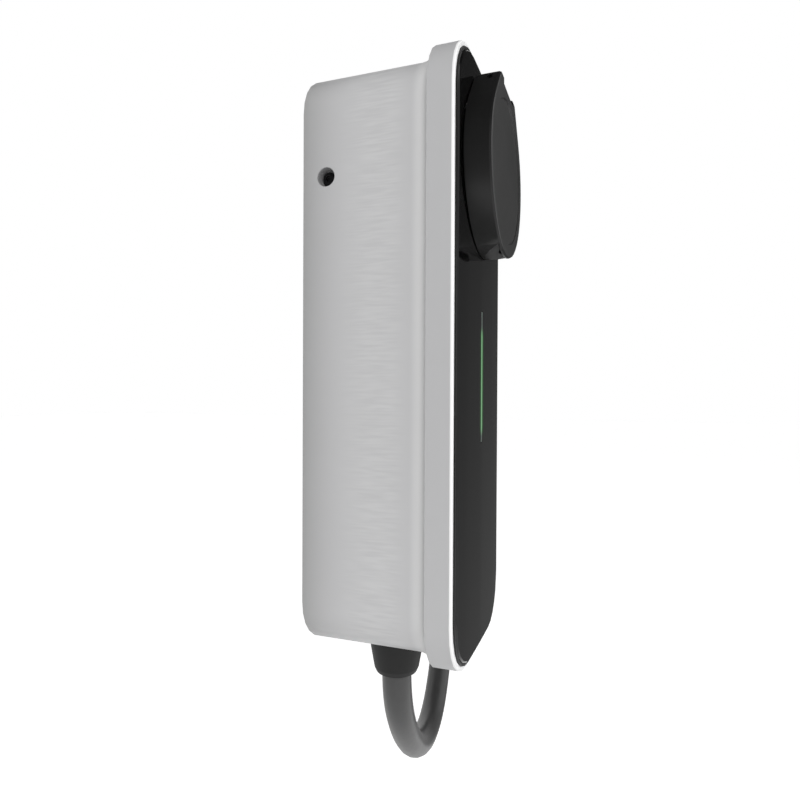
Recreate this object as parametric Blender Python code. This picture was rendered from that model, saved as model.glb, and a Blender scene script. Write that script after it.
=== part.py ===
"""Wall box for charging electric cars: grey housing, black front, lidded socket and supply lead.

Lengths are metres. X runs across the box, -Y points away from the wall and Z is up. The origin is the
middle of the wall face. "Depth" is the distance in front of the wall, so a depth d lies at Y = -d.
"""
import math

import bmesh
import bpy
from mathutils import Matrix, Vector

# Clearance between pieces that seat on or in each other
GAP = 0.0003

# Housing: the flange gives the outline, and "inset" is measured inwards from that outline
FLANGE_HEIGHT = 0.3400
FLANGE_RADIUS = 0.0320
CORNER_DROP = 0.0046
FLANGE_SIDE = 0.0145
BODY_DEPTH = 0.0662
BODY_INSET = 0.0062
FLARE_DEPTH = 0.0088
HOUSING_WALL = 0.0028
RIM_WIDTH = 0.0023
RIM_EDGE = 0.0005
RECESS_DEPTH = 0.0095
REAR_CLEARANCE = 0.0008
REAR_EDGE = 0.0010

# Side screws and the recessed cups around them
CUP_DIAMETER = 0.0108
CUP_DEPTH = 0.0060
CUP_FLOOR = 0.0020
CUP_WALL = 0.0020
SCREW_FROM_TOP = 0.0702
SCREW_DEPTH = 0.0152
SCREW_DIAMETER = 0.0040
SCREW_LENGTH = 0.0090
SCREW_HEAD = 0.0082
SCREW_HEAD_HEIGHT = 0.0026
SCREW_TIP = 0.0008
DRIVE_DEPTH = 0.0014
DRIVE_RADIUS = 0.0018

# Rear base
BASE_FLOOR = 0.0030
BASE_WALL = 0.0022
BASE_RIB = 0.0060
POCKET_DEPTH = 0.0011
POCKET_HEIGHT = 0.0280
POCKET_RIB = 0.0080
BAND_HEIGHT = 0.0480
SLOT_LENGTH = 0.0140
SLOT_WIDTH = 0.0062
SLOT_FROM_SIDE = 0.0270
SLOT_FROM_END = 0.0350

# Black front: carrier frame, glass, head cover
GASKET_THICKNESS = 0.0010
FRAME_WALL = 0.0012
FRAME_FLOOR = 0.0028
FRAME_LIP = 0.0009
SHELF_HEIGHT = 0.0026
SHELF_WIDTH = 0.0037
SOCKET_LAP = 0.0060
DOWEL_DIAMETER = 0.0030
DOWEL_LENGTH = 0.0110
DOWEL_BOSS = 0.0084
DOWEL_BOSS_LENGTH = 0.0140
GLASS_THICKNESS = 0.0037
GLASS_CROWN = 0.0008
GLASS_EDGE = 0.0008
PANEL_WALL = 0.0025
CROSSBAR_WIDTH = 0.0065

# Status light
LIGHT_WIDTH = 0.0026
LIGHT_LENGTH = 0.0763
LIGHT_DROP = 0.03125
LIGHT_FOOT = 0.0070
LIGHT_FOOT_END = 0.0020
LED_BOARD_WIDTH = 0.0140
LED_BOARD_END = 0.0050

# Round lid over the socket, with its hinge head on top
LID_ROOM = 0.0073
LID_MARGIN = 0.0092
LID_TOP_MARGIN = 0.0128
LID_DEPTH = 0.0146
LID_WALL = 0.0025
LID_EDGE = 0.0015
LID_RISE = 0.0014
LID_TANGENT = 140
LID_FILLET = 0.0040
LID_FILLET_LEAST = 0.0010
LID_RIM = 0.0078
LID_DISH_DEPTH = 0.0006
SCOOP_WIDTH = 0.0400
SCOOP_LENGTH = 0.0108
SCOOP_HEIGHT = 0.0034
SCOOP_LIP = 0.0024

# Lid hinge
HINGE_STAND = 0.0088
HINGE_DROP = 0.0042
HINGE_SWING = 0.0004
NOTCH_WIDTH = 0.0296
NOTCH_DROP = 0.0003
PIN_DIAMETER = 0.0030
PIN_CLEARANCE = 0.0001
PIN_LENGTH = 0.0410
EAR_THICKNESS = 0.0040
EAR_X = 0.0100
EAR_RADIUS = 0.0031
EAR_STEM = 0.0038
KNUCKLE_SIZE = 0.0044
SPRING_WIRE = 0.0008
SPRING_RADIUS = 0.0020
SPRING_TURNS = 5

# Charging socket
CONTACT_X = 0.0160
CONTACT_DROP = 0.0145
PILOT_RISE = 0.0125
POWER_SLEEVE = 0.0042
POWER_BORE = 0.00305
PILOT_SLEEVE = 0.0024
PILOT_BORE = 0.00155
SLEEVE_SHOULDER = 0.0012
SLEEVE_SETBACK = 0.0040
TERMINAL_LENGTH = 0.0060
INSERT_WALL = 0.0063
INSERT_TOP_WALL = 0.0056
INSERT_SETBACK = 0.0050
PLUG_SPACE = 0.0065
SHROUD_WALL = 0.0050
SHROUD_BODY_WALL = 0.0030
SHROUD_RISE = 0.0092
SHROUD_EDGE = 0.0006
SOCKET_FLANGE = 0.0030
SOCKET_FLANGE_WIDTH = 0.0074
SOCKET_WELL_DEPTH = 0.0400
SOCKET_BACK = 0.0030
SOCKET_SCREW_INSET = 0.0036
SOCKET_SCREW_HEAD = 0.0049
SOCKET_SCREW_RISE = 0.0020
SEAL_INSET = 0.0010
SEAL_EDGE = 0.0005
PILOT_CONTACTS = ("pp", "cp")
LOCK_INSET = 0.0270
LOCK_PIN_DIAMETER = 0.0050
LOCK_PIN_LENGTH = 0.0140
LOCK_PIN_EDGE = 0.0006
LOCK_SETBACK = 0.0010
LOCK_WIDTH = 0.0260
LOCK_LENGTH = 0.0340
LOCK_NOSE = 0.0060
LOCK_ROOM = 0.0027
LOCK_EDGE = 0.0008

# Electronics
BOARD_THICKNESS = 0.0016
STANDOFF_HEIGHT = 0.0106
STANDOFF_RADIUS = 0.0040
BOARD_SIDE_ROOM = 0.0035
BOARD_SCREW_ROOM = 0.0020
BOARD_SCREW_LENGTH = 0.0060
BOARD_SCREW_HEAD = 0.0028
BOARD_SCREW_RISE = 0.0018
GLAND_ROOM = 0.0588
MODULE_HEIGHT = 0.0220
MODULE_SIDE = 0.0040
MODULE_EDGE = 0.0010
BLOCK_FOOT = 0.0050
BLOCK_LENGTH = 0.0200
BLOCK_SIDE = 0.0065
TERMINAL_PITCH = 0.0140
TERMINAL_SCREW = 0.0034
TERMINAL_SCREW_RISE = 0.0012
ENTRY_RISE = 0.0115
ENTRY_LENGTH = 0.0060
SUPPLY_GAP = 0.0220
SUPPLY_LENGTH = 0.0360
SUPPLY_SPLIT = 0.0060
FUSE_DIAMETER = 0.0060
FUSE_LENGTH = 0.0240
FUSE_X = 0.0100
RELAY_GAP = 0.0120
RELAY_LENGTH = 0.0360
RELAY_SPLIT = 0.0080
SENSOR_GAP = 0.0320
SENSOR_LENGTH = 0.0140
SENSOR_WIDTH = 0.0300
SENSOR_HEIGHT = 0.0280
SENSOR_BORE = 0.0180
SENSOR_BORE_RISE = 0.0145
BOARD_HEAD = 0.0160
CONTROL_SIDE_ROOM = 0.0090
CONTROL_FOOT = 0.0300
CONTROL_LENGTH = 0.1200
CONTROL_PARTS = (
    (-0.0210, 0.0180, 0.0190, 0.0180, 0.0030), (0.0170, 0.0180, 0.0240, 0.0180, 0.0020),
    (0.0230, 0.0220, 0.0920, 0.0080, 0.0060),
)
FRAME_POST = 0.0051
FRAME_POST_RADIUS = 0.0032
ANTENNA_WIDTH = 0.0600
ANTENNA_LENGTH = 0.0380
ANTENNA_FOOT = 0.0120
ANTENNA_THICKNESS = 0.0010
RIBBON_WIDTH = 0.0160
RIBBON_THICKNESS = 0.0008
RIBBON_FOOT = 0.0100
RIBBON_RISE = 0.0040
RIBBON_PLUG = 0.0060
RIBBON_PLUG_LENGTH = 0.0050
WIRE_DIAMETER = 0.0042
PILOT_WIRE_DIAMETER = 0.0016

# Cable gland and supply lead
CABLE_DIAMETER = 0.0182
CABLE_DEPTH = 0.0393
GLAND_WALL = 0.0016
GLAND_FLANGE_RADIUS = 0.0140
GLAND_FLANGE = 0.0036
GLAND_SEAL = 0.0010
GLAND_THREAD = 0.0154
NUT_FLATS = 0.0270
NUT_HEIGHT = 0.0050
NUT_ROOM = 0.0017
BOOT_LENGTH = 0.0304
BOOT_TOP_RADIUS = 0.0180
BOOT_TAPER = 0.16
BOOT_NOSE = 0.0045
BOOT_STEP = 0.0013
BOOT_ROUND = 0.0032
CORE_DIAMETER = 0.0042
CORE_CIRCLE = 0.0039
CABLE_INSERTION = 0.0010
CABLE_STEP = 0.0280
COIL_X = 0.2600
COIL_Z = -0.0920
COIL_RADIUS = 0.0910
COIL_DEPTH = 0.0144
TIE_WIDTH = 0.0200
TIE_THICKNESS = 0.0014
TIE_ROUND = 0.0030
TIE_BASE_WIDTH = 0.0260
TIE_BASE_LENGTH = 0.0280
TIE_FOOT_WIDTH = 0.0160
TIE_FOOT_LENGTH = 0.0200
TIE_BASE_EDGE = 0.0006
TIE_ANGLES = {"top": 100, "low": 350}
LEAD_END_ANGLE = 262
LEAD_SLEEVE = 0.0280
LEAD_SLEEVE_TAPER = 0.0030
LEAD_CORES = 0.0192
FERRULE_DIAMETER = 0.0026
FERRULE_LENGTH = 0.0128

# Sizes that follow: the contacts set the socket, the socket sets the lid, and the lid sets the case's width
INSERT_RADIUS = CONTACT_X + POWER_SLEEVE + INSERT_WALL
INSERT_FLAT = PILOT_RISE + PILOT_SLEEVE + INSERT_TOP_WALL
SOCKET_WELL_RADIUS = INSERT_RADIUS + PLUG_SPACE
SOCKET_WELL_FLAT = INSERT_FLAT + PLUG_SPACE
SHROUD_RADIUS = SOCKET_WELL_RADIUS + SHROUD_WALL
SHROUD_BODY_RADIUS = SOCKET_WELL_RADIUS + SHROUD_BODY_WALL
SOCKET_FLANGE_RADIUS = SHROUD_RADIUS + SOCKET_FLANGE_WIDTH
SEAL_INNER = SOCKET_WELL_RADIUS + SEAL_INSET
SEAL_OUTER = SHROUD_RADIUS - SEAL_EDGE
LID_RADIUS = SHROUD_RADIUS + LID_ROOM + LID_WALL
LID_TOP = LID_RADIUS + LID_RISE
LID_DISH_RADIUS = LID_RADIUS - LID_RIM
FLANGE_WIDTH = 2 * (LID_RADIUS + LID_MARGIN)
BODY_RADIUS = FLANGE_RADIUS - CORNER_DROP
NUT_RADIUS = NUT_FLATS / math.sqrt(3)
BASE_DEPTH = CABLE_DEPTH - NUT_RADIUS - NUT_ROOM

# Places that follow
FLARE_FRONT = BODY_DEPTH + FLARE_DEPTH
FLANGE_FRONT = FLARE_FRONT + FLANGE_SIDE
LEDGE_DEPTH = FLANGE_FRONT - RECESS_DEPTH
INNER_INSET = BODY_INSET + HOUSING_WALL
BASE_INSET = INNER_INSET + GAP
HALF_WIDTH = FLANGE_WIDTH / 2
HALF_HEIGHT = FLANGE_HEIGHT / 2
CORNER_RATE = (FLANGE_RADIUS - BODY_RADIUS) / BODY_INSET
BODY_X = HALF_WIDTH - BODY_INSET
BODY_Z = HALF_HEIGHT - BODY_INSET
LID_Z = HALF_HEIGHT - LID_TOP_MARGIN - LID_TOP
LIGHT_Z = LID_Z - LID_RADIUS - LIGHT_DROP - LIGHT_LENGTH / 2
SCREW_HEIGHT = HALF_HEIGHT - SCREW_FROM_TOP
SLOT_X = HALF_WIDTH - SLOT_FROM_SIDE
SLOT_Z = HALF_HEIGHT - SLOT_FROM_END
CUP_X = BODY_X - CUP_DEPTH
CUP_BACK_X = CUP_X - CUP_FLOOR
FRAME_INSET = RIM_WIDTH + GAP
FRAME_BACK = LEDGE_DEPTH + GAP + GASKET_THICKNESS + GAP
FRAME_FLOOR_FRONT = FRAME_BACK + FRAME_FLOOR
SHELF_FRONT = FRAME_FLOOR_FRONT + SHELF_HEIGHT
FRAME_FRONT = FLANGE_FRONT + FRAME_LIP
PANEL_INSET = FRAME_INSET + FRAME_WALL + GAP
PANEL_BACK = SHELF_FRONT + GAP
GLASS_FRONT = PANEL_BACK + GLASS_THICKNESS
PANEL_FRONT = GLASS_FRONT + GLASS_CROWN
LID_BACK = PANEL_FRONT + GAP
LID_FRONT = LID_BACK + LID_DEPTH
LID_INNER_FRONT = LID_FRONT - LID_WALL
HINGE_DEPTH = PANEL_FRONT + HINGE_STAND
HINGE_Z = LID_Z + LID_TOP - HINGE_DROP
HINGE_AXIS = (0.0, -HINGE_DEPTH, HINGE_Z)
SHROUD_FRONT = PANEL_FRONT + SHROUD_RISE
SOCKET_FLANGE_FRONT = PANEL_FRONT - PANEL_WALL - GAP
SOCKET_FLANGE_BACK = SOCKET_FLANGE_FRONT - SOCKET_FLANGE
WELL_FLOOR = SHROUD_FRONT - SOCKET_WELL_DEPTH
SOCKET_REAR = WELL_FLOOR - SOCKET_BACK
INSERT_FRONT = SHROUD_FRONT - INSERT_SETBACK
TERMINAL_END = SOCKET_REAR - TERMINAL_LENGTH
CONTACT_SPOTS = {
    "pe": (0.0, 0.0), "l1": (-CONTACT_X, 0.0), "n": (CONTACT_X, 0.0),
    "l2": (-CONTACT_X / 2, -CONTACT_DROP), "l3": (CONTACT_X / 2, -CONTACT_DROP),
    "pp": (-CONTACT_X / 2, PILOT_RISE), "cp": (CONTACT_X / 2, PILOT_RISE),
}
LOCK_DEPTH = SHROUD_FRONT - LOCK_INSET
LOCK_BODY_Z = LID_Z + SHROUD_BODY_RADIUS + GAP
LOCK_HEIGHT = HALF_HEIGHT - INNER_INSET - LOCK_ROOM - LOCK_BODY_Z
LOCK_TIP_Z = LID_Z + SOCKET_WELL_FLAT + LOCK_SETBACK
BOARD_BACK = BASE_FLOOR + STANDOFF_HEIGHT
BOARD_FRONT = BOARD_BACK + BOARD_THICKNESS
PART_SEAT = BOARD_FRONT + GAP
PART_TOP = PART_SEAT + MODULE_HEIGHT
ENTRY_DEPTH = PART_SEAT + ENTRY_RISE
POWER_BOARD_X = HALF_WIDTH - BASE_INSET - BASE_WALL - BOARD_SIDE_ROOM
MODULE_X = POWER_BOARD_X - MODULE_SIDE
TERMINAL_X = tuple(TERMINAL_PITCH * i for i in (-2, -1, 0, 1, 2))
BOARD_LOW_Z = -BODY_Z + GLAND_ROOM
BLOCK_Z = (BOARD_LOW_Z + BLOCK_FOOT, BOARD_LOW_Z + BLOCK_FOOT + BLOCK_LENGTH)
SUPPLY_Z = (BLOCK_Z[1] + SUPPLY_GAP, BLOCK_Z[1] + SUPPLY_GAP + SUPPLY_LENGTH)
RELAY_Z = (SUPPLY_Z[1] + RELAY_GAP, SUPPLY_Z[1] + RELAY_GAP + RELAY_LENGTH)
SENSOR_Z = (RELAY_Z[1] + SENSOR_GAP, RELAY_Z[1] + SENSOR_GAP + SENSOR_LENGTH)
POWER_BOARD_Z = (BOARD_LOW_Z, SENSOR_Z[1] + BOARD_HEAD)
CONTROL_BOARD_X = HALF_WIDTH - INNER_INSET - CONTROL_SIDE_ROOM
CONTROL_BOARD_Z = (-HALF_HEIGHT + CONTROL_FOOT, -HALF_HEIGHT + CONTROL_FOOT + CONTROL_LENGTH)
RIBBON_Z = BLOCK_Z[1] + RIBBON_FOOT
CONTROL_BACK = FRAME_BACK - FRAME_POST - GAP - BOARD_THICKNESS
LED_BOARD_FRONT = FRAME_BACK - GAP
CABLE_RADIUS = CABLE_DIAMETER / 2
GLAND_BORE = CABLE_RADIUS + GAP
GLAND_TUBE = GLAND_BORE + GLAND_WALL
GLAND_TOP_Z = -BODY_Z - GAP - GLAND_SEAL - GAP
GLAND_FOOT_Z = GLAND_TOP_Z - GLAND_FLANGE
BOOT_END_Z = -BODY_Z - GAP - BOOT_LENGTH
CABLE_START_Z = GLAND_FOOT_Z + CABLE_INSERTION
COIL_OUTER = COIL_RADIUS + CABLE_DIAMETER
COIL_INNER = COIL_RADIUS - CABLE_DIAMETER
COIL_FRONT = COIL_DEPTH + CABLE_RADIUS

# Fineness of round shapes
CORNER_STEPS = 6
ROUND_STEPS = 40
SMALL_STEPS = 12
SHARP_ANGLE = math.radians(32)

# Colour, roughness and metallic value of each finish
FINISHES = {
    "grey_asa": ((0.55, 0.56, 0.57), 0.45, 0.0),
    "black_asa": ((0.020, 0.020, 0.022), 0.38, 0.0),
    "black_glass": ((0.008, 0.008, 0.010), 0.08, 0.0),
    "light_guide": ((0.30, 0.72, 0.40), 0.30, 0.0),
    "dark_moulding": ((0.060, 0.062, 0.066), 0.60, 0.0),
    "seal_rubber": ((0.030, 0.030, 0.032), 0.80, 0.0),
    "cable_rubber": ((0.016, 0.016, 0.017), 0.55, 0.0),
    "steel": ((0.56, 0.57, 0.58), 0.30, 1.0),
    "silvered_brass": ((0.80, 0.79, 0.74), 0.25, 1.0),
    "circuit_board": ((0.020, 0.110, 0.055), 0.50, 0.0),
    "module_grey": ((0.42, 0.43, 0.45), 0.50, 0.0),
    "terminal_grey": ((0.33, 0.36, 0.36), 0.55, 0.0),
    "fuse_glass": ((0.75, 0.73, 0.66), 0.20, 0.0),
    "ribbon_grey": ((0.48, 0.48, 0.50), 0.60, 0.0),
    "brown_wire": ((0.130, 0.045, 0.018), 0.50, 0.0),
    "black_wire": ((0.020, 0.020, 0.021), 0.50, 0.0),
    "grey_wire": ((0.30, 0.31, 0.32), 0.50, 0.0),
    "blue_wire": ((0.030, 0.110, 0.420), 0.50, 0.0),
    "earth_wire": ((0.360, 0.500, 0.040), 0.50, 0.0),
    "white_wire": ((0.700, 0.700, 0.680), 0.50, 0.0),
}
WIRE_FINISH = {"l1": "brown_wire", "l2": "black_wire", "l3": "grey_wire", "n": "blue_wire",
               "pe": "earth_wire"}


def clear_scene():
    """Remove every object that the new scene starts with."""
    for obj in list(bpy.data.objects):
        bpy.data.objects.remove(obj, do_unlink=True)


def material(finish):
    """The Principled material of a named finish, made once."""
    found = bpy.data.materials.get(finish)
    if found:
        return found
    colour, roughness, metallic = FINISHES[finish]
    made = bpy.data.materials.new(finish)
    made.use_nodes = True
    shader = made.node_tree.nodes["Principled BSDF"]
    shader.inputs["Base Color"].default_value = (*colour, 1.0)
    shader.inputs["Roughness"].default_value = roughness
    shader.inputs["Metallic"].default_value = metallic
    made.diffuse_color = (*colour, 1.0)
    return made


# Meshes

def merged(*pieces):
    """Several meshes side by side in one."""
    whole = bmesh.new()
    for piece in pieces:
        mesh = bpy.data.meshes.new("piece")
        piece.to_mesh(mesh)
        piece.free()
        whole.from_mesh(mesh)
        bpy.data.meshes.remove(mesh)
    return whole


def loft(rings, closed=False):
    """Skin over rings of equal point counts; the ends are capped, or joined when closed."""
    bm = bmesh.new()
    loops = [[bm.verts.new(point) for point in ring] for ring in rings]
    pairs = list(zip(loops, loops[1:]))
    if closed:
        pairs.append((loops[-1], loops[0]))
    for near, far in pairs:
        for a, b, c, d in zip(near, near[1:] + near[:1], far[1:] + far[:1], far):
            bm.faces.new((a, b, c, d))
    if not closed:
        bm.faces.new(reversed(loops[0]))
        bm.faces.new(loops[-1])
    bmesh.ops.recalc_face_normals(bm, faces=bm.faces)
    return bm


def turned(profile, steps=ROUND_STEPS, closed=False):
    """Spin (radius, height) points about Z; a closed profile makes a ring."""
    bm = bmesh.new()
    verts = [bm.verts.new((radius, 0, height)) for radius, height in profile]
    edges = [bm.edges.new(pair) for pair in zip(verts, verts[1:])]
    if closed:
        edges.append(bm.edges.new((verts[-1], verts[0])))
    bmesh.ops.spin(bm, geom=verts + edges, cent=(0, 0, 0), axis=(0, 0, 1), angle=math.tau, steps=steps,
                   use_merge=True)
    bmesh.ops.remove_doubles(bm, verts=bm.verts, dist=0.000001)
    bmesh.ops.recalc_face_normals(bm, faces=bm.faces)
    return bm


def facing_front(bm, x=0.0, z=0.0):
    """Turn a mesh whose height runs along Z so that its height becomes depth, and place its axis."""
    turn = Matrix.Translation((x, 0, z)) @ Matrix.Rotation(math.radians(90), 4, "X")
    bmesh.ops.transform(bm, matrix=turn, verts=bm.verts)
    return bm


def moved(bm, x=0.0, y=0.0, z=0.0):
    """Shift a mesh."""
    bmesh.ops.translate(bm, verts=bm.verts, vec=(x, y, z))
    return bm


def bar(x, depth, z, bevel=0.0):
    """A block between two values of x, depth and z, with an optional bevel on every edge."""
    size = Vector((x[1] - x[0], depth[1] - depth[0], z[1] - z[0]))
    middle = Vector((sum(x) / 2, -sum(depth) / 2, sum(z) / 2))
    bm = bmesh.new()
    bmesh.ops.create_cube(bm, size=1, matrix=Matrix.Translation(middle) @ Matrix.Diagonal((*size, 1)))
    if bevel:
        bmesh.ops.bevel(bm, geom=bm.edges[:], offset=bevel, segments=2, profile=0.5, affect="EDGES",
                        material=-1)
    return bm


def rod(axis, centre, radius, low, high, steps=SMALL_STEPS):
    """A cylinder along X, D (depth) or Z between two values on that axis, through the other two."""
    turn = {"X": Matrix.Rotation(math.radians(90), 4, "Y"),
            "D": Matrix.Rotation(math.radians(90), 4, "X"),
            "Z": Matrix.Identity(4)}[axis]
    middle = (low + high) / 2
    place = {"X": (middle, -centre[0], centre[1]), "D": (centre[0], -middle, centre[1]),
             "Z": (centre[0], -centre[1], middle)}[axis]
    bm = bmesh.new()
    bmesh.ops.create_cone(bm, cap_ends=True, segments=steps, radius1=radius, radius2=radius,
                          depth=high - low, matrix=Matrix.Translation(place) @ turn)
    return bm


def swept_across(profile, x_low, x_high):
    """A prism along X from (depth, z) points."""
    return loft([[(x, -depth, z) for depth, z in profile] for x in (x_low, x_high)])


def prism(outline, depth_low, depth_high):
    """A prism along the depth from (x, z) points."""
    return loft([[(x, -depth, z) for x, z in outline] for depth in (depth_low, depth_high)])


def arc(centre, radius, start, end, steps):
    """Points on an arc, both ends included; the angles are in degrees."""
    angles = [math.radians(start + (end - start) * i / steps) for i in range(steps + 1)]
    return [(centre[0] + radius * math.cos(a), centre[1] + radius * math.sin(a)) for a in angles]


# Objects

def solid(name, bm, finish, parent=None):
    """A named object from a mesh in world coordinates; with a parent, its origin is the parent's."""
    origin = parent.location if parent else Vector((0, 0, 0))
    bmesh.ops.recalc_face_normals(bm, faces=bm.faces)
    bmesh.ops.translate(bm, verts=bm.verts, vec=-origin)
    mesh = bpy.data.meshes.new(name)
    bm.to_mesh(mesh)
    bm.free()
    mesh.shade_smooth()
    mesh.set_sharp_from_angle(angle=SHARP_ANGLE)
    mesh.materials.append(material(finish))
    obj = bpy.data.objects.new(name, mesh)
    obj.parent = parent
    bpy.context.collection.objects.link(obj)
    return obj


def combine(target, bm, operation):
    """Cut a mesh from an object or fuse it on, with a hidden helper object."""
    helper = solid(f"{target.name}_{operation.lower()}", bm, "dark_moulding")
    helper.hide_render = True
    helper.display_type = "WIRE"
    boolean = target.modifiers.new(helper.name, "BOOLEAN")
    boolean.operation = operation
    boolean.object = helper
    boolean.solver = "EXACT"
    boolean.use_self = True


def cut(target, *pieces):
    """Take the pieces' shapes out of the target."""
    combine(target, merged(*pieces), "DIFFERENCE")


def fuse(target, *pieces):
    """Make the pieces one body with the target."""
    combine(target, merged(*pieces), "UNION")


def pivot(name, location):
    """An empty on a joint's axis."""
    empty = bpy.data.objects.new(name, None)
    empty.location = location
    empty.empty_display_size = 0.01
    bpy.context.collection.objects.link(empty)
    return empty


def smooth_route(points, spacing):
    """Evenly spaced points on a smooth curve through the given (x, depth, z) points."""
    knots = [Vector((x, -depth, z)) for x, depth, z in points]
    knots = [2 * knots[0] - knots[1], *knots, 2 * knots[-1] - knots[-2]]
    dense = []
    for p0, p1, p2, p3 in zip(knots, knots[1:], knots[2:], knots[3:]):
        for t in (i / 12 for i in range(12)):
            dense.append(0.5 * (2 * p1 + (p2 - p0) * t + (2 * p0 - 5 * p1 + 4 * p2 - p3) * t ** 2
                                + (3 * p1 - p0 - 3 * p2 + p3) * t ** 3))
    dense.append(knots[-2])
    length = sum((b - a).length for a, b in zip(dense, dense[1:]))
    count = max(2, round(length / spacing))
    route = [dense[0]]
    walked, goal = 0.0, length / count
    for a, b in zip(dense, dense[1:]):
        step = (b - a).length
        while walked + step >= goal * len(route) and len(route) < count:
            route.append(a.lerp(b, (goal * len(route) - walked) / step))
        walked += step
    return route + [dense[-1]]


def tube(name, points, diameter, finish, spacing, resolution=2):
    """A round cord or wire as a curve object with filled ends."""
    curve = bpy.data.curves.new(name, "CURVE")
    curve.dimensions = "3D"
    curve.bevel_depth = diameter / 2
    curve.bevel_resolution = resolution
    curve.use_fill_caps = True
    route = smooth_route(points, spacing)
    spline = curve.splines.new("POLY")
    spline.points.add(len(route) - 1)
    for point, place in zip(spline.points, route):
        point.co = (*place, 1.0)
    curve.materials.append(material(finish))
    obj = bpy.data.objects.new(name, curve)
    bpy.context.collection.objects.link(obj)
    return obj


# Outlines of the case

def case_ring(inset, depth):
    """Rounded rectangle of the case, inset from the flange's outline, at a depth."""
    radius = FLANGE_RADIUS - inset * CORNER_RATE
    x, z = HALF_WIDTH - inset - radius, HALF_HEIGHT - inset - radius
    points = (arc((x, z), radius, 0, 90, CORNER_STEPS) + arc((-x, z), radius, 90, 180, CORNER_STEPS)
              + arc((-x, -z), radius, 180, 270, CORNER_STEPS) + arc((x, -z), radius, 270, 360,
                                                                    CORNER_STEPS))
    return [(px, -depth, pz) for px, pz in points]


def panel_slab(inset, back, front, edge, crown):
    """A slab of the case's front outline, made of upright sections across X.

    edge is the bevel along the front's outline, and crown is how far the middle stands out.
    """
    radius = FLANGE_RADIUS - inset * CORNER_RATE
    half, tall = HALF_WIDTH - inset, HALF_HEIGHT - inset

    def reach(x, bevel):
        """Height of the outline, inset by a bevel, at x."""
        beyond = max(abs(x) - half + radius, 0)
        return tall - radius + math.sqrt(max((radius - bevel) ** 2 - beyond ** 2, 0))

    corner = [half - radius + radius * math.sin(math.radians(90 * i / CORNER_STEPS))
              for i in range(CORNER_STEPS)]
    flat = [(half - radius) / 2]
    stations = flat + [x for x in corner if x < half - 1.3 * edge] + [half - edge, half]
    rings = []
    for x in [-x for x in reversed(stations)] + [0.0] + stations:
        last = edge if abs(x) == half else 0.0
        face = front + crown * (1 - (x / half) ** 2)
        low, high = reach(x, 0), reach(x, edge)
        rings.append([(x, -back, -low), (x, edge - face, -low), (x, last - face, -high),
                      (x, last - face, high), (x, edge - face, low), (x, -back, low)])
    slab = loft(rings)
    bmesh.ops.remove_doubles(slab, verts=slab.verts, dist=0.000001)
    return slab


# Housing, rear base and side screws

def dowel_spots():
    """Places of the frame's four dowels, in the corners just inside the ledge."""
    x = HALF_WIDTH - FLANGE_RADIUS
    z = HALF_HEIGHT - FLANGE_RADIUS
    reach = (FLANGE_RADIUS - INNER_INSET - DOWEL_DIAMETER) * math.sqrt(0.5)
    return [(sx * (x + reach), sz * (z + reach)) for sx in (-1, 1) for sz in (-1, 1)]


def make_housing():
    """Grey shell: straight body, concave flare, flange with the recess for the black front."""
    flare = [case_ring(BODY_INSET * math.cos(math.radians(a)),
                       BODY_DEPTH + FLARE_DEPTH * math.sin(math.radians(a)))
             for a in range(0, 91, 15)]
    rings = [case_ring(BODY_INSET + REAR_EDGE, REAR_CLEARANCE),
             case_ring(BODY_INSET + REAR_EDGE * 0.3, REAR_CLEARANCE + REAR_EDGE * 0.3),
             case_ring(BODY_INSET, REAR_CLEARANCE + REAR_EDGE), *flare,
             case_ring(0, FLANGE_FRONT - RIM_EDGE), case_ring(RIM_EDGE, FLANGE_FRONT),
             case_ring(RIM_WIDTH, FLANGE_FRONT), case_ring(RIM_WIDTH, LEDGE_DEPTH),
             case_ring(INNER_INSET, LEDGE_DEPTH), case_ring(INNER_INSET, REAR_CLEARANCE)]
    housing = solid("housing", loft(rings, closed=True), "grey_asa")
    cup = (SCREW_DEPTH, SCREW_HEIGHT)
    wall_middle = BODY_X - HOUSING_WALL / 2
    cup_outside = CUP_DIAMETER / 2 + CUP_WALL
    cups = [rod("X", cup, cup_outside, *sorted((side * CUP_BACK_X, side * wall_middle)), ROUND_STEPS // 2)
            for side in (-1, 1)]
    bosses = [rod("D", spot, DOWEL_BOSS / 2, LEDGE_DEPTH - DOWEL_BOSS_LENGTH, LEDGE_DEPTH - GAP)
              for spot in dowel_spots()]
    fuse(housing, *cups, *bosses)
    recesses = [turned([(0, CUP_BACK_X - GAP), (SCREW_DIAMETER / 2 + GAP, CUP_BACK_X - GAP),
                        (SCREW_DIAMETER / 2 + GAP, CUP_X), (CUP_DIAMETER / 2, CUP_X),
                        (CUP_DIAMETER / 2, BODY_X + GAP), (0, BODY_X + GAP)], ROUND_STEPS // 2)
                for _ in range(2)]
    for side, recess in zip((-1, 1), recesses):
        bmesh.ops.rotate(recess, verts=recess.verts,
                         matrix=Matrix.Rotation(math.radians(90 * side), 3, "Y"))
        moved(recess, y=-SCREW_DEPTH, z=SCREW_HEIGHT)
    holes = [rod("D", spot, DOWEL_DIAMETER / 2 + GAP, LEDGE_DEPTH - DOWEL_BOSS_LENGTH - GAP,
                 LEDGE_DEPTH + GAP)
             for spot in dowel_spots()]
    entry = rod("Z", (0, CABLE_DEPTH), GLAND_TUBE + GAP, -BODY_Z - GAP, -BODY_Z + HOUSING_WALL + GAP,
                ROUND_STEPS // 2)
    cut(housing, *recesses, *holes, entry)
    return housing


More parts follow.
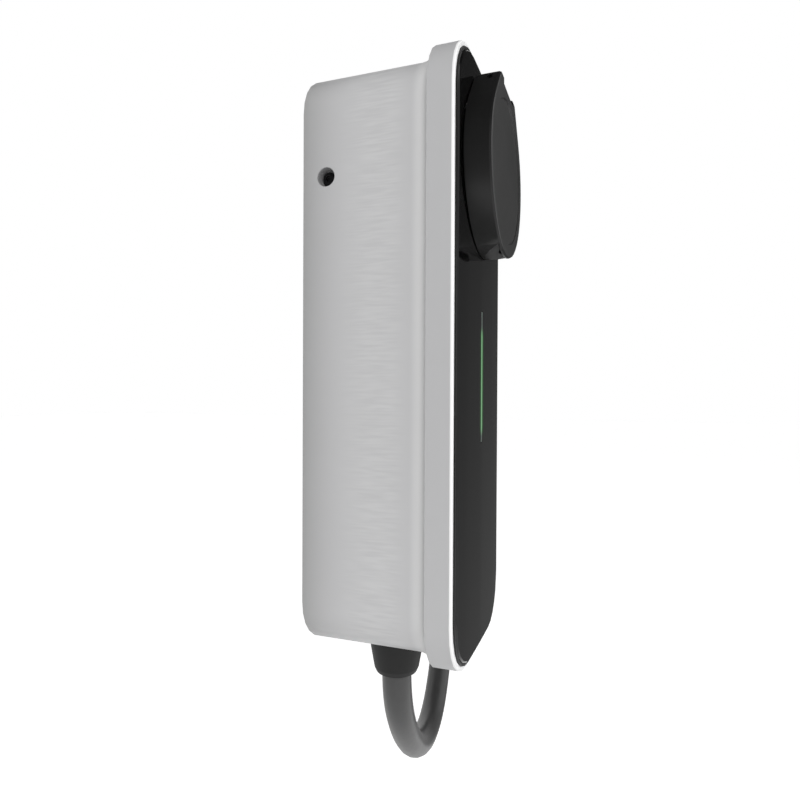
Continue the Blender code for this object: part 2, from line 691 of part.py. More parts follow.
def make_rear_base():
    """Moulded tray on the wall, with slots for wall screws, board pillars and side screw blocks."""
    rings = [case_ring(BASE_INSET, 0), case_ring(BASE_INSET, BASE_DEPTH),
             case_ring(BASE_INSET + BASE_WALL, BASE_DEPTH), case_ring(BASE_INSET + BASE_WALL, BASE_FLOOR)]
    base = solid("rear_base", loft(rings), "dark_moulding")
    foot = BASE_FLOOR / 2
    pillars = [rod("D", spot, STANDOFF_RADIUS, foot, BOARD_BACK - GAP) for spot in board_screws()]
    block = SCREW_HEAD / 2 + GAP
    blocks = [bar(sorted((side * (CUP_BACK_X - GAP), side * (CUP_BACK_X - GAP - SCREW_LENGTH))),
                  (foot, SCREW_DEPTH + block), (SCREW_HEIGHT - block, SCREW_HEIGHT + block))
              for side in (-1, 1)]
    fuse(base, *pillars, *blocks)
    notch = CUP_DIAMETER / 2 + CUP_WALL + GAP
    notch_front = max(BASE_DEPTH, SCREW_DEPTH + block) + GAP
    notches = [bar(sorted((side * (CUP_BACK_X - GAP), side * HALF_WIDTH)),
                   (SCREW_DEPTH - notch, notch_front),
                   (SCREW_HEIGHT - notch, SCREW_HEIGHT + notch)) for side in (-1, 1)]
    pilots = [rod("X", (SCREW_DEPTH, SCREW_HEIGHT), SCREW_DIAMETER / 2 + GAP,
                  *sorted((side * CUP_BACK_X, side * (CUP_BACK_X - SCREW_LENGTH + GAP))))
              for side in (-1, 1)]
    slots = [prism(arc((sx * SLOT_X, sz * SLOT_Z + SLOT_LENGTH / 2 - SLOT_WIDTH / 2), SLOT_WIDTH / 2, 0,
                       180, 6)
                   + arc((sx * SLOT_X, sz * SLOT_Z - SLOT_LENGTH / 2 + SLOT_WIDTH / 2), SLOT_WIDTH / 2,
                         180, 360, 6),
                   -GAP, BASE_FLOOR + GAP) for sx in (-1, 1) for sz in (-1, 1)]
    hole_floor = BOARD_BACK - BOARD_SCREW_LENGTH - BOARD_SCREW_ROOM
    board_holes = [rod("D", spot, DOWEL_DIAMETER / 2 + GAP, hole_floor, BOARD_BACK)
                   for spot in board_screws()]
    cut(base, *notches, *pilots, *slots, *board_holes, *rear_pockets())
    return base


def rear_pockets():
    """Shallow pockets in the wall face, which leave a grid of ribs and a flat middle band."""
    half = HALF_WIDTH - BASE_INSET - 2 * BASE_RIB
    starts = [BAND_HEIGHT / 2 + row * (POCKET_HEIGHT + POCKET_RIB) for row in (0, 1)]
    rows = [sorted((side * z, side * (z + POCKET_HEIGHT))) for z in starts for side in (-1, 1)]
    columns = [(-half, -BASE_RIB / 2), (BASE_RIB / 2, half)]
    return [bar(x, (-GAP, POCKET_DEPTH), z) for x in columns for z in rows]


def board_screws():
    """Screw places of the power board."""
    edge = STANDOFF_RADIUS
    return [(sx * (POWER_BOARD_X - edge), z) for sx in (-1, 1)
            for z in (POWER_BOARD_Z[0] + edge, POWER_BOARD_Z[1] - edge)]


def make_side_screws():
    """Countersunk security screws with a six-lobe drive, in the side cups."""
    head_back = CUP_X + GAP
    tip = CUP_X - SCREW_LENGTH
    for name, side in (("security_screw_left", -1), ("security_screw_right", 1)):
        screw = turned([(0, tip), (SCREW_DIAMETER / 2, tip + SCREW_TIP),
                        (SCREW_DIAMETER / 2, head_back), (SCREW_HEAD / 2, head_back),
                        (SCREW_HEAD / 2, head_back + SCREW_HEAD_HEIGHT * 0.6),
                        (SCREW_HEAD / 2 * 0.7, head_back + SCREW_HEAD_HEIGHT),
                        (0, head_back + SCREW_HEAD_HEIGHT)],
                       SMALL_STEPS)
        bmesh.ops.rotate(screw, verts=screw.verts,
                         matrix=Matrix.Rotation(math.radians(90 * side), 3, "Y"))
        moved(screw, y=-SCREW_DEPTH, z=SCREW_HEIGHT)
        screw = solid(name, screw, "steel")
        top = head_back + SCREW_HEAD_HEIGHT
        drive = sorted((side * (top - DRIVE_DEPTH), side * (top + GAP)))
        cut(screw, rod("X", (SCREW_DEPTH, SCREW_HEIGHT), DRIVE_RADIUS, *drive, 6))


# Black front

def make_front():
    """Gasket and carrier frame."""
    low, high = LEDGE_DEPTH + GAP, LEDGE_DEPTH + GAP + GASKET_THICKNESS
    outer, inner = RIM_WIDTH + 2 * GAP, INNER_INSET - GAP
    gasket = loft([case_ring(outer, low), case_ring(inner, low), case_ring(inner, high),
                   case_ring(outer, high)],
                  closed=True)
    solid("front_gasket", gasket, "seal_rubber")

    shelf = FRAME_INSET + FRAME_WALL + SHELF_WIDTH
    frame = solid("front_frame", loft([
        case_ring(FRAME_INSET, FRAME_BACK), case_ring(FRAME_INSET, FRAME_FRONT),
        case_ring(FRAME_INSET + FRAME_WALL, FRAME_FRONT),
                                       case_ring(FRAME_INSET + FRAME_WALL, SHELF_FRONT),
        case_ring(shelf, SHELF_FRONT), case_ring(shelf, FRAME_FLOOR_FRONT)]), "black_asa")
    half = HALF_WIDTH - FRAME_INSET - FRAME_WALL
    crossbar = bar((-half - GAP, half + GAP), (FRAME_BACK + FRAME_FLOOR / 2, SHELF_FRONT),
                   (LID_Z - SOCKET_FLANGE_RADIUS - GAP - CROSSBAR_WIDTH,
                    LID_Z - SOCKET_FLANGE_RADIUS - GAP))
    dowels = [rod("D", spot, DOWEL_DIAMETER / 2, FRAME_BACK - DOWEL_LENGTH, FRAME_BACK + GAP)
              for spot in dowel_spots()]
    posts = [rod("D", (sx * (CONTROL_BOARD_X - STANDOFF_RADIUS), z), FRAME_POST_RADIUS,
                 FRAME_BACK - FRAME_POST, FRAME_BACK + GAP)
             for sx in (-1, 1) for z in (CONTROL_BOARD_Z[0] + STANDOFF_RADIUS,
                                         CONTROL_BOARD_Z[1] - STANDOFF_RADIUS)]
    fuse(frame, crossbar, *dowels, *posts)
    through = (FRAME_BACK - GAP, SHELF_FRONT + GAP)
    opening = rod("D", (0, LID_Z), SOCKET_FLANGE_RADIUS - SOCKET_LAP, *through, ROUND_STEPS)
    reliefs = [rod("D", spot, SCREW_HEAD / 2, *through) for spot in socket_screws()]
    cut(frame, opening, *reliefs, light_slot(*through))


def light_slot(low, high):
    """Slot for the light guide between two depths."""
    return bar((-LIGHT_WIDTH / 2 - GAP, LIGHT_WIDTH / 2 + GAP), (low, high),
               (LIGHT_Z - LIGHT_LENGTH / 2 - GAP, LIGHT_Z + LIGHT_LENGTH / 2 + GAP))


def socket_screws():
    """Screw places in the socket flange."""
    reach = (SOCKET_FLANGE_RADIUS - SOCKET_SCREW_INSET) * math.sqrt(0.5)
    return [(sx * reach, LID_Z + sz * reach) for sx in (-1, 1) for sz in (-1, 1)]


def make_front_panel():
    """Gloss front in one piece, slightly crowned, with its light slot, socket opening and hinge ears."""
    panel = solid("front_panel",
                  panel_slab(PANEL_INSET, PANEL_BACK, GLASS_FRONT, GLASS_EDGE, GLASS_CROWN),
                  "black_glass")
    pocket = rod("D", (0, LID_Z), SOCKET_FLANGE_RADIUS + GAP, PANEL_BACK - GAP,
                 SOCKET_FLANGE_FRONT + GAP, ROUND_STEPS)
    cut(panel, light_slot(PANEL_BACK - GAP, PANEL_FRONT + GAP), pocket)
    stem = HINGE_DEPTH - PANEL_FRONT + PANEL_WALL / 2
    ears = []
    for side in (-1, 1):
        x = sorted((side * EAR_X - EAR_THICKNESS / 2, side * EAR_X + EAR_THICKNESS / 2))
        outline = arc((HINGE_DEPTH, HINGE_Z), EAR_RADIUS, -140, 140, 12)
        outline += [(HINGE_DEPTH - stem, HINGE_Z + EAR_STEM / 2),
                    (HINGE_DEPTH - stem, HINGE_Z - EAR_STEM / 2)]
        ears.append(swept_across(outline, *x))
    fuse(panel, *ears)
    opening = rod("D", (0, LID_Z), SHROUD_RADIUS + GAP, SOCKET_FLANGE_FRONT, PANEL_FRONT + GAP,
                  ROUND_STEPS)
    pin_hole = rod("X", (HINGE_DEPTH, HINGE_Z), PIN_DIAMETER / 2 + PIN_CLEARANCE,
                   -EAR_X - EAR_THICKNESS, EAR_X + EAR_THICKNESS)
    cut(panel, opening, pin_hole)


def make_status_light():
    """Light guide in the glass and the strip of lamps behind it."""
    z = (LIGHT_Z - LIGHT_LENGTH / 2, LIGHT_Z + LIGHT_LENGTH / 2)
    guide = solid("light_guide", bar((-LIGHT_WIDTH / 2, LIGHT_WIDTH / 2),
                                     (LED_BOARD_FRONT + GAP, GLASS_FRONT + GLASS_CROWN), z),
                  "light_guide")
    fuse(guide, bar((-LIGHT_FOOT / 2, LIGHT_FOOT / 2),
                    (FRAME_FLOOR_FRONT + GAP, FRAME_FLOOR_FRONT + SHELF_HEIGHT),
                    (z[0] - LIGHT_FOOT_END, z[1] + LIGHT_FOOT_END)))
    solid("led_board", bar((-LED_BOARD_WIDTH / 2, LED_BOARD_WIDTH / 2),
                           (LED_BOARD_FRONT - BOARD_THICKNESS, LED_BOARD_FRONT),
                           (z[0] - LED_BOARD_END, z[1] + LED_BOARD_END)), "circuit_board")


# Lid and hinge

def lid_ring(offset, depth):
    """Lid outline inset by an offset: a circle with two tangent shoulders up to a flat top."""
    radius = LID_RADIUS - offset
    top = LID_TOP - offset
    tangent = math.radians(LID_TANGENT)
    fillet = max(LID_FILLET - offset, LID_FILLET_LEAST)
    foot = Vector((radius * math.cos(tangent), radius * math.sin(tangent)))
    corner_x = foot.x + (top - foot.y) * math.sin(tangent) / -math.cos(tangent)
    centre_x = corner_x + fillet * math.tan((tangent - math.radians(90)) / 2)
    left = arc((centre_x, top - fillet), fillet, LID_TANGENT, 90, 4)
    right = arc((-centre_x, top - fillet), fillet, 90, 180 - LID_TANGENT, 4)
    circle = arc((0, 0), radius, 180 - LID_TANGENT, LID_TANGENT - 360, 36)
    return [(x, -depth, LID_Z + z) for x, z in left + right + circle]


def make_lid(hinge):
    """Round cap with a dished face, a finger scoop below and the hinge head on top."""
    lid = solid("lid", loft([
        lid_ring(LID_WALL, LID_INNER_FRONT), lid_ring(LID_WALL, LID_BACK), lid_ring(0, LID_BACK),
        lid_ring(0, LID_FRONT - LID_EDGE), lid_ring(LID_EDGE * 0.3, LID_FRONT - LID_EDGE * 0.3),
        lid_ring(LID_EDGE, LID_FRONT)]), "black_asa", hinge)
    shell = LID_WALL / 2
    knuckle_x = NOTCH_WIDTH / 2 - shell
    roof = LID_Z + LID_TOP
    knuckles = [bar(sorted((side * knuckle_x, side * PIN_LENGTH / 2)),
                    (HINGE_DEPTH - KNUCKLE_SIZE, LID_INNER_FRONT + shell),
                    (HINGE_Z - KNUCKLE_SIZE, roof - shell))
                for side in (-1, 1)]
    floor_z = LID_Z - LID_RADIUS
    scoop_block = bar((-SCOOP_WIDTH / 2, SCOOP_WIDTH / 2), (LID_BACK, LID_INNER_FRONT + shell),
                      (floor_z + SCOOP_HEIGHT + shell, floor_z + SCOOP_HEIGHT + LID_WALL))
    fuse(lid, *knuckles, scoop_block)
    swing = HINGE_STAND - HINGE_SWING
    barrel = arc((HINGE_DEPTH, HINGE_Z), swing, 90, 180, 8)
    corner = swept_across(barrel + [(LID_BACK - LID_WALL, HINGE_Z),
                                    (LID_BACK - LID_WALL, HINGE_Z + 2 * swing),
                                    (HINGE_DEPTH, HINGE_Z + 2 * swing)], -LID_RADIUS, LID_RADIUS)
    notch = bar((-NOTCH_WIDTH / 2, NOTCH_WIDTH / 2), (LID_BACK - LID_WALL, LID_FRONT + GAP),
                (HINGE_Z - NOTCH_DROP, roof + LID_WALL))
    pin_hole = rod("X", (HINGE_DEPTH, HINGE_Z), PIN_DIAMETER / 2 + PIN_CLEARANCE, -LID_RADIUS, LID_RADIUS)
    lip_back = LID_FRONT - SCOOP_LIP
    scoop = swept_across([(lip_back - SCOOP_LENGTH, floor_z), (lip_back, floor_z + SCOOP_HEIGHT),
                          (lip_back, floor_z - LID_WALL), (lip_back - SCOOP_LENGTH, floor_z - LID_WALL)],
                         -SCOOP_WIDTH / 2, SCOOP_WIDTH / 2)
    dish_floor = LID_FRONT - LID_DISH_DEPTH
    dish = turned([(0, dish_floor), (LID_DISH_RADIUS - LID_DISH_DEPTH, dish_floor),
                   (LID_DISH_RADIUS + GAP, LID_FRONT + GAP), (0, LID_FRONT + GAP)])
    cut(lid, corner, notch, pin_hole, scoop, facing_front(dish, z=LID_Z))

    seal = turned([(SEAL_INNER, SHROUD_FRONT + GAP), (SEAL_OUTER, SHROUD_FRONT + GAP),
                   (SEAL_OUTER, LID_INNER_FRONT - GAP), (SEAL_INNER, LID_INNER_FRONT - GAP)], closed=True)
    solid("lid_seal", facing_front(seal, z=LID_Z), "seal_rubber", hinge)


def make_hinge_hardware():
    """Hinge pin and the spring that shuts the lid."""
    solid("lid_pin", rod("X", (HINGE_DEPTH, HINGE_Z), PIN_DIAMETER / 2, -PIN_LENGTH / 2, PIN_LENGTH / 2),
          "steel")
    half = EAR_X - EAR_THICKNESS / 2 - GAP - SPRING_WIRE / 2
    steps = 12 * SPRING_TURNS
    coil = []
    for i in range(steps + 1):
        angle = math.tau * SPRING_TURNS * i / steps
        coil.append((-half + 2 * half * i / steps, HINGE_DEPTH + SPRING_RADIUS * math.sin(angle),
                     HINGE_Z - SPRING_RADIUS * math.cos(angle)))
    foot = (-half, LID_BACK + SPRING_WIRE / 2, HINGE_Z - SPRING_RADIUS)
    arm = (half, LID_INNER_FRONT - GAP - SPRING_WIRE / 2, HINGE_Z - SPRING_RADIUS)
    curve = bpy.data.curves.new("lid_spring", "CURVE")
    curve.dimensions = "3D"
    curve.bevel_depth = SPRING_WIRE / 2
    curve.bevel_resolution = 0
    curve.use_fill_caps = True
    route = [foot, *coil, arm]
    spline = curve.splines.new("POLY")
    spline.points.add(len(route) - 1)
    for point, (x, depth, z) in zip(spline.points, route):
        point.co = (x, -depth, z, 1.0)
    curve.materials.append(material("steel"))
    bpy.context.collection.objects.link(bpy.data.objects.new("lid_spring", curve))


# Charging socket

def flat_topped(radius, flat, steps=ROUND_STEPS):
    """Circle cut by a flat at the top, about the socket's axis."""
    edge = math.degrees(math.asin(flat / radius))
    return [(x, LID_Z + z) for x, z in arc((0, 0), radius, edge, -180 - edge, steps)]


def make_socket():
    """Shroud with the plug well, the insert and its seven contacts."""
    edge = SHROUD_EDGE
    profile = [(0, SOCKET_REAR), (SHROUD_BODY_RADIUS, SOCKET_REAR),
               (SHROUD_BODY_RADIUS, SOCKET_FLANGE_BACK),
               (SOCKET_FLANGE_RADIUS, SOCKET_FLANGE_BACK), (SOCKET_FLANGE_RADIUS, SOCKET_FLANGE_FRONT),
               (SHROUD_RADIUS, SOCKET_FLANGE_FRONT), (SHROUD_RADIUS, SHROUD_FRONT - edge),
               (SHROUD_RADIUS - edge, SHROUD_FRONT), (SOCKET_WELL_RADIUS + edge, SHROUD_FRONT),
               (SOCKET_WELL_RADIUS, SHROUD_FRONT - edge), (SOCKET_WELL_RADIUS, WELL_FLOOR),
               (0, WELL_FLOOR)]
    shroud = solid("socket_shroud", facing_front(turned(profile), z=LID_Z), "black_asa")
    flat_edge = math.degrees(math.asin(SOCKET_WELL_FLAT / (SOCKET_WELL_RADIUS + edge)))
    segment = [(x, LID_Z + z) for x,
               z in arc((0, 0), SOCKET_WELL_RADIUS + edge, flat_edge, 180 - flat_edge, 10)]
    heads = [rod("D", spot, SOCKET_SCREW_HEAD / 2, SOCKET_FLANGE_BACK - SOCKET_SCREW_RISE,
                 SOCKET_FLANGE_BACK + GAP)
             for spot in socket_screws()]
    fuse(shroud, prism(segment, WELL_FLOOR - SOCKET_BACK / 2, SHROUD_FRONT - 2 * edge), *heads)
    holes = [rod("D", (x, LID_Z + z), contact_sizes(name)[0] - SLEEVE_SHOULDER + GAP,
                 SOCKET_REAR - GAP, WELL_FLOOR + GAP) for name, (x, z) in CONTACT_SPOTS.items()]
    lock_hole = rod("Z", (0, LOCK_DEPTH), LOCK_PIN_DIAMETER / 2 + GAP,
                    LID_Z + INSERT_FLAT + SHROUD_BODY_WALL,
                    LID_Z + SHROUD_BODY_RADIUS + GAP)
    cut(shroud, *holes, lock_hole)

    insert = solid("socket_insert",
                   prism(flat_topped(INSERT_RADIUS, INSERT_FLAT), WELL_FLOOR + GAP, INSERT_FRONT),
                   "black_asa")
    cut(insert, *(rod("D", (x, LID_Z + z), contact_sizes(name)[0] + GAP, WELL_FLOOR, INSERT_FRONT + GAP)
                  for name, (x, z) in CONTACT_SPOTS.items()))

    for name, (x, z) in CONTACT_SPOTS.items():
        sleeve, bore = contact_sizes(name)
        stem = sleeve - SLEEVE_SHOULDER
        front = INSERT_FRONT - SLEEVE_SETBACK
        back = WELL_FLOOR + 2 * GAP
        floor = back + sleeve
        contact = turned([(0, TERMINAL_END), (stem, TERMINAL_END), (stem, back), (sleeve, back),
                          (sleeve, front), (bore, front), (bore, floor), (0, floor)], SMALL_STEPS)
        solid(f"contact_{name}", facing_front(contact, x, LID_Z + z), "silvered_brass")


def contact_sizes(name):
    """Outer and bore radius of a contact sleeve."""
    return (PILOT_SLEEVE, PILOT_BORE) if name in PILOT_CONTACTS else (POWER_SLEEVE, POWER_BORE)


def make_plug_lock():
    """Motor housing on the socket and the pin that slides down into the plug well."""
    front = LOCK_DEPTH + LOCK_NOSE
    body = solid("lock_actuator", bar((-LOCK_WIDTH / 2, LOCK_WIDTH / 2), (front - LOCK_LENGTH, front),
                                      (LOCK_BODY_Z, LOCK_BODY_Z + LOCK_HEIGHT), LOCK_EDGE),
                 "dark_moulding")
    pin_top = LOCK_TIP_Z + LOCK_PIN_LENGTH
    cut(body, rod("Z", (0, LOCK_DEPTH), LOCK_PIN_DIAMETER / 2 + GAP, LOCK_BODY_Z - GAP,
                  pin_top + 2 * GAP))
    slide = pivot("lock_slide", (0, -LOCK_DEPTH, LOCK_TIP_Z))
    radius = LOCK_PIN_DIAMETER / 2
    pin = turned([(0, LOCK_TIP_Z), (radius - LOCK_PIN_EDGE, LOCK_TIP_Z),
                  (radius, LOCK_TIP_Z + LOCK_PIN_EDGE),
                  (radius, pin_top), (0, pin_top)], SMALL_STEPS)
    solid("lock_pin", moved(pin, y=-LOCK_DEPTH), "steel", slide)


# Electronics

def make_power_board():
    """Mains board on the rear base with its relays, current sensor, supply, fuse and terminals."""
    board = solid("power_board",
                  bar((-POWER_BOARD_X, POWER_BOARD_X), (BOARD_BACK, BOARD_FRONT), POWER_BOARD_Z),
                  "circuit_board")
    tip, seat = BOARD_BACK - BOARD_SCREW_LENGTH, BOARD_FRONT - GAP
    shank, head = DOWEL_DIAMETER / 2, BOARD_SCREW_HEAD
    profile = [(0, tip), (shank, tip), (shank, seat), (head, seat),
               (head, BOARD_FRONT + BOARD_SCREW_RISE * 0.7),
               (head * 0.6, BOARD_FRONT + BOARD_SCREW_RISE), (0, BOARD_FRONT + BOARD_SCREW_RISE)]
    fuse(board, *(facing_front(turned(profile, SMALL_STEPS), *spot) for spot in board_screws()))
    block_room = SCREW_HEAD / 2 + 3 * GAP
    inner = CUP_BACK_X - SCREW_LENGTH - 2 * GAP
    cut(board, *(bar(sorted((side * inner, side * HALF_WIDTH)), (BOARD_BACK - GAP, BOARD_FRONT + GAP),
                     (SCREW_HEIGHT - block_room, SCREW_HEIGHT + block_room)) for side in (-1, 1)))
    stand = (PART_SEAT, PART_TOP)
    for name, x in (("relay_left", (-MODULE_X, -RELAY_SPLIT)), ("relay_right", (RELAY_SPLIT, MODULE_X))):
        solid(name, bar(x, stand, RELAY_Z, MODULE_EDGE), "module_grey")
    solid("power_supply", bar((-MODULE_X, -SUPPLY_SPLIT), stand, SUPPLY_Z, MODULE_EDGE), "module_grey")
    solid("fuse", rod("X", (PART_SEAT + FUSE_DIAMETER / 2, sum(SUPPLY_Z) / 2), FUSE_DIAMETER / 2,
                      FUSE_X, FUSE_X + FUSE_LENGTH), "fuse_glass")
    make_sensor_and_terminals()


def make_sensor_and_terminals():
    """Current sensor with its window, and the terminal block with its screws and wire entries."""
    sensor = solid("current_sensor", bar((-SENSOR_WIDTH / 2, SENSOR_WIDTH / 2),
                                         (PART_SEAT, PART_SEAT + SENSOR_HEIGHT), SENSOR_Z, MODULE_EDGE),
                   "dark_moulding")
    cut(sensor, rod("Z", (0, PART_SEAT + SENSOR_BORE_RISE), SENSOR_BORE / 2,
                    SENSOR_Z[0] - GAP, SENSOR_Z[1] + GAP, ROUND_STEPS // 2))
    half = TERMINAL_X[-1] + BLOCK_SIDE
    block = solid("terminal_block", bar((-half, half), (PART_SEAT, PART_TOP), BLOCK_Z, MODULE_EDGE),
                  "terminal_grey")
    fuse(block, *(rod("D", (x, sum(BLOCK_Z) / 2), TERMINAL_SCREW, PART_TOP - TERMINAL_SCREW,
                      PART_TOP + TERMINAL_SCREW_RISE) for x in TERMINAL_X))
    entries = [rod("Z", (x, ENTRY_DEPTH), CORE_DIAMETER / 2 + GAP, BLOCK_Z[0] - GAP,
                   BLOCK_Z[0] + ENTRY_LENGTH)
               for x in TERMINAL_X]
    earth = rod("Z", (TERMINAL_X[-1], ENTRY_DEPTH), WIRE_DIAMETER / 2 + GAP, BLOCK_Z[1] - ENTRY_LENGTH,
                BLOCK_Z[1] + GAP)
    cut(block, *entries, earth)


def make_front_boards():
    """Control board on the frame's posts, radio card antenna behind the glass, ribbon between boards."""
    back = CONTROL_BACK
    control = solid("control_board",
                    bar((-CONTROL_BOARD_X, CONTROL_BOARD_X), (back, back + BOARD_THICKNESS),
                                         CONTROL_BOARD_Z), "circuit_board")
    low = CONTROL_BOARD_Z[0]
    fuse(control, *(bar((x - width / 2, x + width / 2), (back - height, back + GAP),
                        (low + z - length / 2, low + z + length / 2)) for x, width, z, length,
                    height in CONTROL_PARTS))
    antenna_back = FRAME_FLOOR_FRONT + GAP
    antenna_low = -HALF_HEIGHT + ANTENNA_FOOT
    solid("antenna_board", bar((-ANTENNA_WIDTH / 2, ANTENNA_WIDTH / 2),
                               (antenna_back, antenna_back + ANTENNA_THICKNESS),
                               (antenna_low, antenna_low + ANTENNA_LENGTH)), "circuit_board")
    low_end, high_end = PART_SEAT + RIBBON_PLUG, back - GAP - RIBBON_PLUG
    far_z = RIBBON_Z + RIBBON_RISE
    route = [(low_end - 2 * GAP, RIBBON_Z),
             (low_end + (high_end - low_end) * 0.25, RIBBON_Z - RIBBON_RISE * 0.15),
             (low_end + (high_end - low_end) * 0.55, RIBBON_Z - RIBBON_RISE),
             (low_end + (high_end - low_end) * 0.85, RIBBON_Z), (high_end + 2 * GAP, far_z)]
    half, thick = RIBBON_WIDTH / 2, RIBBON_THICKNESS / 2
    section = ((-half, -thick), (half, -thick), (half, thick), (-half, thick))
    rings = [[(x, place.y, place.z + dz) for x, dz in section]
             for place in smooth_route([(0, depth, z) for depth, z in route], RIBBON_PLUG)]
    ribbon = solid("ribbon_cable", loft(rings), "ribbon_grey")
    wide, tall = half + thick * 2, RIBBON_PLUG_LENGTH / 2
    fuse(ribbon, bar((-wide, wide), (PART_SEAT, low_end), (RIBBON_Z - tall, RIBBON_Z + tall)),
         bar((-wide, wide), (high_end, back - GAP), (far_z - tall, far_z + tall)))


def make_wires():
    """Power wires through the current sensor to the socket, the earth wire and the pilot wires."""
    end = TERMINAL_END - GAP
    relay, low, high, edge = RELAY_Z[1], SENSOR_Z[0], SENSOR_Z[1], POWER_BOARD_X
    deep = ENTRY_DEPTH
    outer = [(-edge + 0.011, deep, relay + GAP), (-edge + 0.011, deep, relay + 0.007),
             (-0.013, 0.028, low - 0.009),
             (-0.0044, 0.0276, low), (-0.0044, 0.0276, high), (-0.008, 0.028, high + 0.012),
             (-0.014, 0.033, LID_Z - 0.009)]
    inner = [(-0.016, deep, relay + GAP), (-0.016, deep, relay + 0.005), (-0.007, 0.031, low - 0.013),
             (-0.0030, 0.0336, low - 0.001), (-0.0030, 0.0336, high), (-0.0055, 0.037, high + 0.011)]
    earth_x, block = TERMINAL_X[-1], BLOCK_Z[1]
    earth = [(earth_x, deep, block - ENTRY_LENGTH + 4 * GAP), (earth_x, deep, block + 0.002),
             (earth_x, 0.0272, block + 0.009), (edge - 0.0005, 0.030, block + 0.030),
             (edge - 0.0001, 0.032, relay - 0.026),
             (edge - 0.0005, 0.032, relay + 0.014), (edge - 0.008, 0.033, high + 0.003),
             (0.024, 0.033, LID_Z - 0.002),
             (0.010, 0.034, LID_Z + 0.014), (0.001, 0.039, LID_Z + 0.008)]
    routes = {"l1": outer, "l2": inner, "l3": [(-x, depth, z) for x, depth, z in inner],
              "n": [(-x, depth, z) for x, depth, z in outer], "pe": earth}
    for name, points in routes.items():
        x, z = CONTACT_SPOTS[name]
        landing = [(x, end - 0.007, LID_Z + z), (x, end, LID_Z + z)]
        tube(f"wire_{name}", points + landing, WIRE_DIAMETER, WIRE_FINISH[name], 0.007, 1)
    board_top = CONTROL_BOARD_Z[1]
    for name in PILOT_CONTACTS:
        x, z = CONTACT_SPOTS[name]
        side = math.copysign(1, x)
        foot = side * (CONTROL_BOARD_X - 0.005)
        points = [(x, end, LID_Z + z), (x, end - 0.005, LID_Z + z),
                  (x + side * 0.002, end - 0.009, LID_Z + z),
                  (side * 0.020, end - 0.0057, LID_Z + 0.018),
                  (side * (edge - 0.004), end - 0.0017, LID_Z + 0.004),
                  (side * (edge + 0.0015), end + 0.0033, LID_Z - 0.028),
                  (side * (edge + 0.0015), CONTROL_BACK - 0.0126, board_top + 0.040),
                  (side * (edge - 0.002), CONTROL_BACK - 0.0116, board_top + 0.010),
                  (foot, CONTROL_BACK - 0.009, board_top - 0.0095),
                  (foot, CONTROL_BACK - 0.005, board_top - 0.010),
                  (foot, CONTROL_BACK - 2 * GAP, board_top - 0.010)]
        tube(f"wire_{name}", points, PILOT_WIRE_DIAMETER, "white_wire", 0.0065, 0)


# Gland and lead

def make_gland():
    """Gland through the housing's floor with its nut, seal and the rubber boot over it."""
    def centred(bm):
        return moved(bm, y=-CABLE_DEPTH)
    body = [(GLAND_BORE, GLAND_FOOT_Z), (GLAND_FLANGE_RADIUS, GLAND_FOOT_Z),
            (GLAND_FLANGE_RADIUS, GLAND_TOP_Z),
            (GLAND_TUBE, GLAND_TOP_Z), (GLAND_TUBE, GLAND_TOP_Z + GLAND_THREAD),
            (GLAND_BORE, GLAND_TOP_Z + GLAND_THREAD)]
    solid("gland_body", centred(turned(body, 24, closed=True)), "dark_moulding")
    seal = [(GLAND_TUBE + GAP, GLAND_TOP_Z + GAP), (GLAND_FLANGE_RADIUS, GLAND_TOP_Z + GAP),
            (GLAND_FLANGE_RADIUS, -BODY_Z - GAP), (GLAND_TUBE + GAP, -BODY_Z - GAP)]
    solid("gland_seal", centred(turned(seal, 24, closed=True)), "seal_rubber")
    nut_low = -BODY_Z + HOUSING_WALL + GAP
    nut = solid("gland_nut", rod("Z", (0, CABLE_DEPTH), NUT_RADIUS, nut_low, nut_low + NUT_HEIGHT, 6),
                "dark_moulding")
    cut(nut, rod("Z", (0, CABLE_DEPTH), GLAND_TUBE + GAP, nut_low - GAP, nut_low + NUT_HEIGHT + GAP, 24))
    top = -BODY_Z - GAP
    shoulder = BOOT_END_Z + BOOT_NOSE
    lower = BOOT_TOP_RADIUS - BOOT_TAPER * (top - shoulder)
    boot = [(BOOT_TOP_RADIUS, top), (lower, shoulder),
            (lower - BOOT_ROUND + BOOT_STEP * 1.5, BOOT_END_Z + BOOT_STEP),
            (lower - BOOT_ROUND, BOOT_END_Z), (GLAND_BORE, BOOT_END_Z), (GLAND_BORE, GLAND_FOOT_Z - GAP),
            (GLAND_FLANGE_RADIUS + GAP, GLAND_FOOT_Z - GAP),
            (GLAND_FLANGE_RADIUS + GAP, top)]
    solid("strain_boot", centred(turned(boot, 32, closed=True)), "seal_rubber")
    block, deep = BLOCK_Z[0], ENTRY_DEPTH
    for index, (name, finish) in enumerate(WIRE_FINISH.items()):
        angle = math.radians(90 + 72 * index)
        x, depth = CORE_CIRCLE * math.cos(angle), CABLE_DEPTH + CORE_CIRCLE * math.sin(angle)
        exit_z = GLAND_TOP_Z + GLAND_THREAD
        target = sorted(TERMINAL_X)[core_order(index)]
        points = [(x, depth, CABLE_START_Z + GAP), (x, depth, exit_z - 0.006),
                  (x * 1.2, depth, exit_z + 0.004),
                  (target * 0.75, 0.033, block - 0.022), (target, 0.0275, block - 0.010),
                  (target, deep, block - 0.002),
                  (target, deep, block + ENTRY_LENGTH - 2 * GAP)]
        tube(f"core_{name}", points, CORE_DIAMETER, finish, 0.006, 1)


def core_order(index):
    """Which terminal a core of the pentagon goes to, so that no two cores cross."""
    return (2, 0, 1, 3, 4)[index]


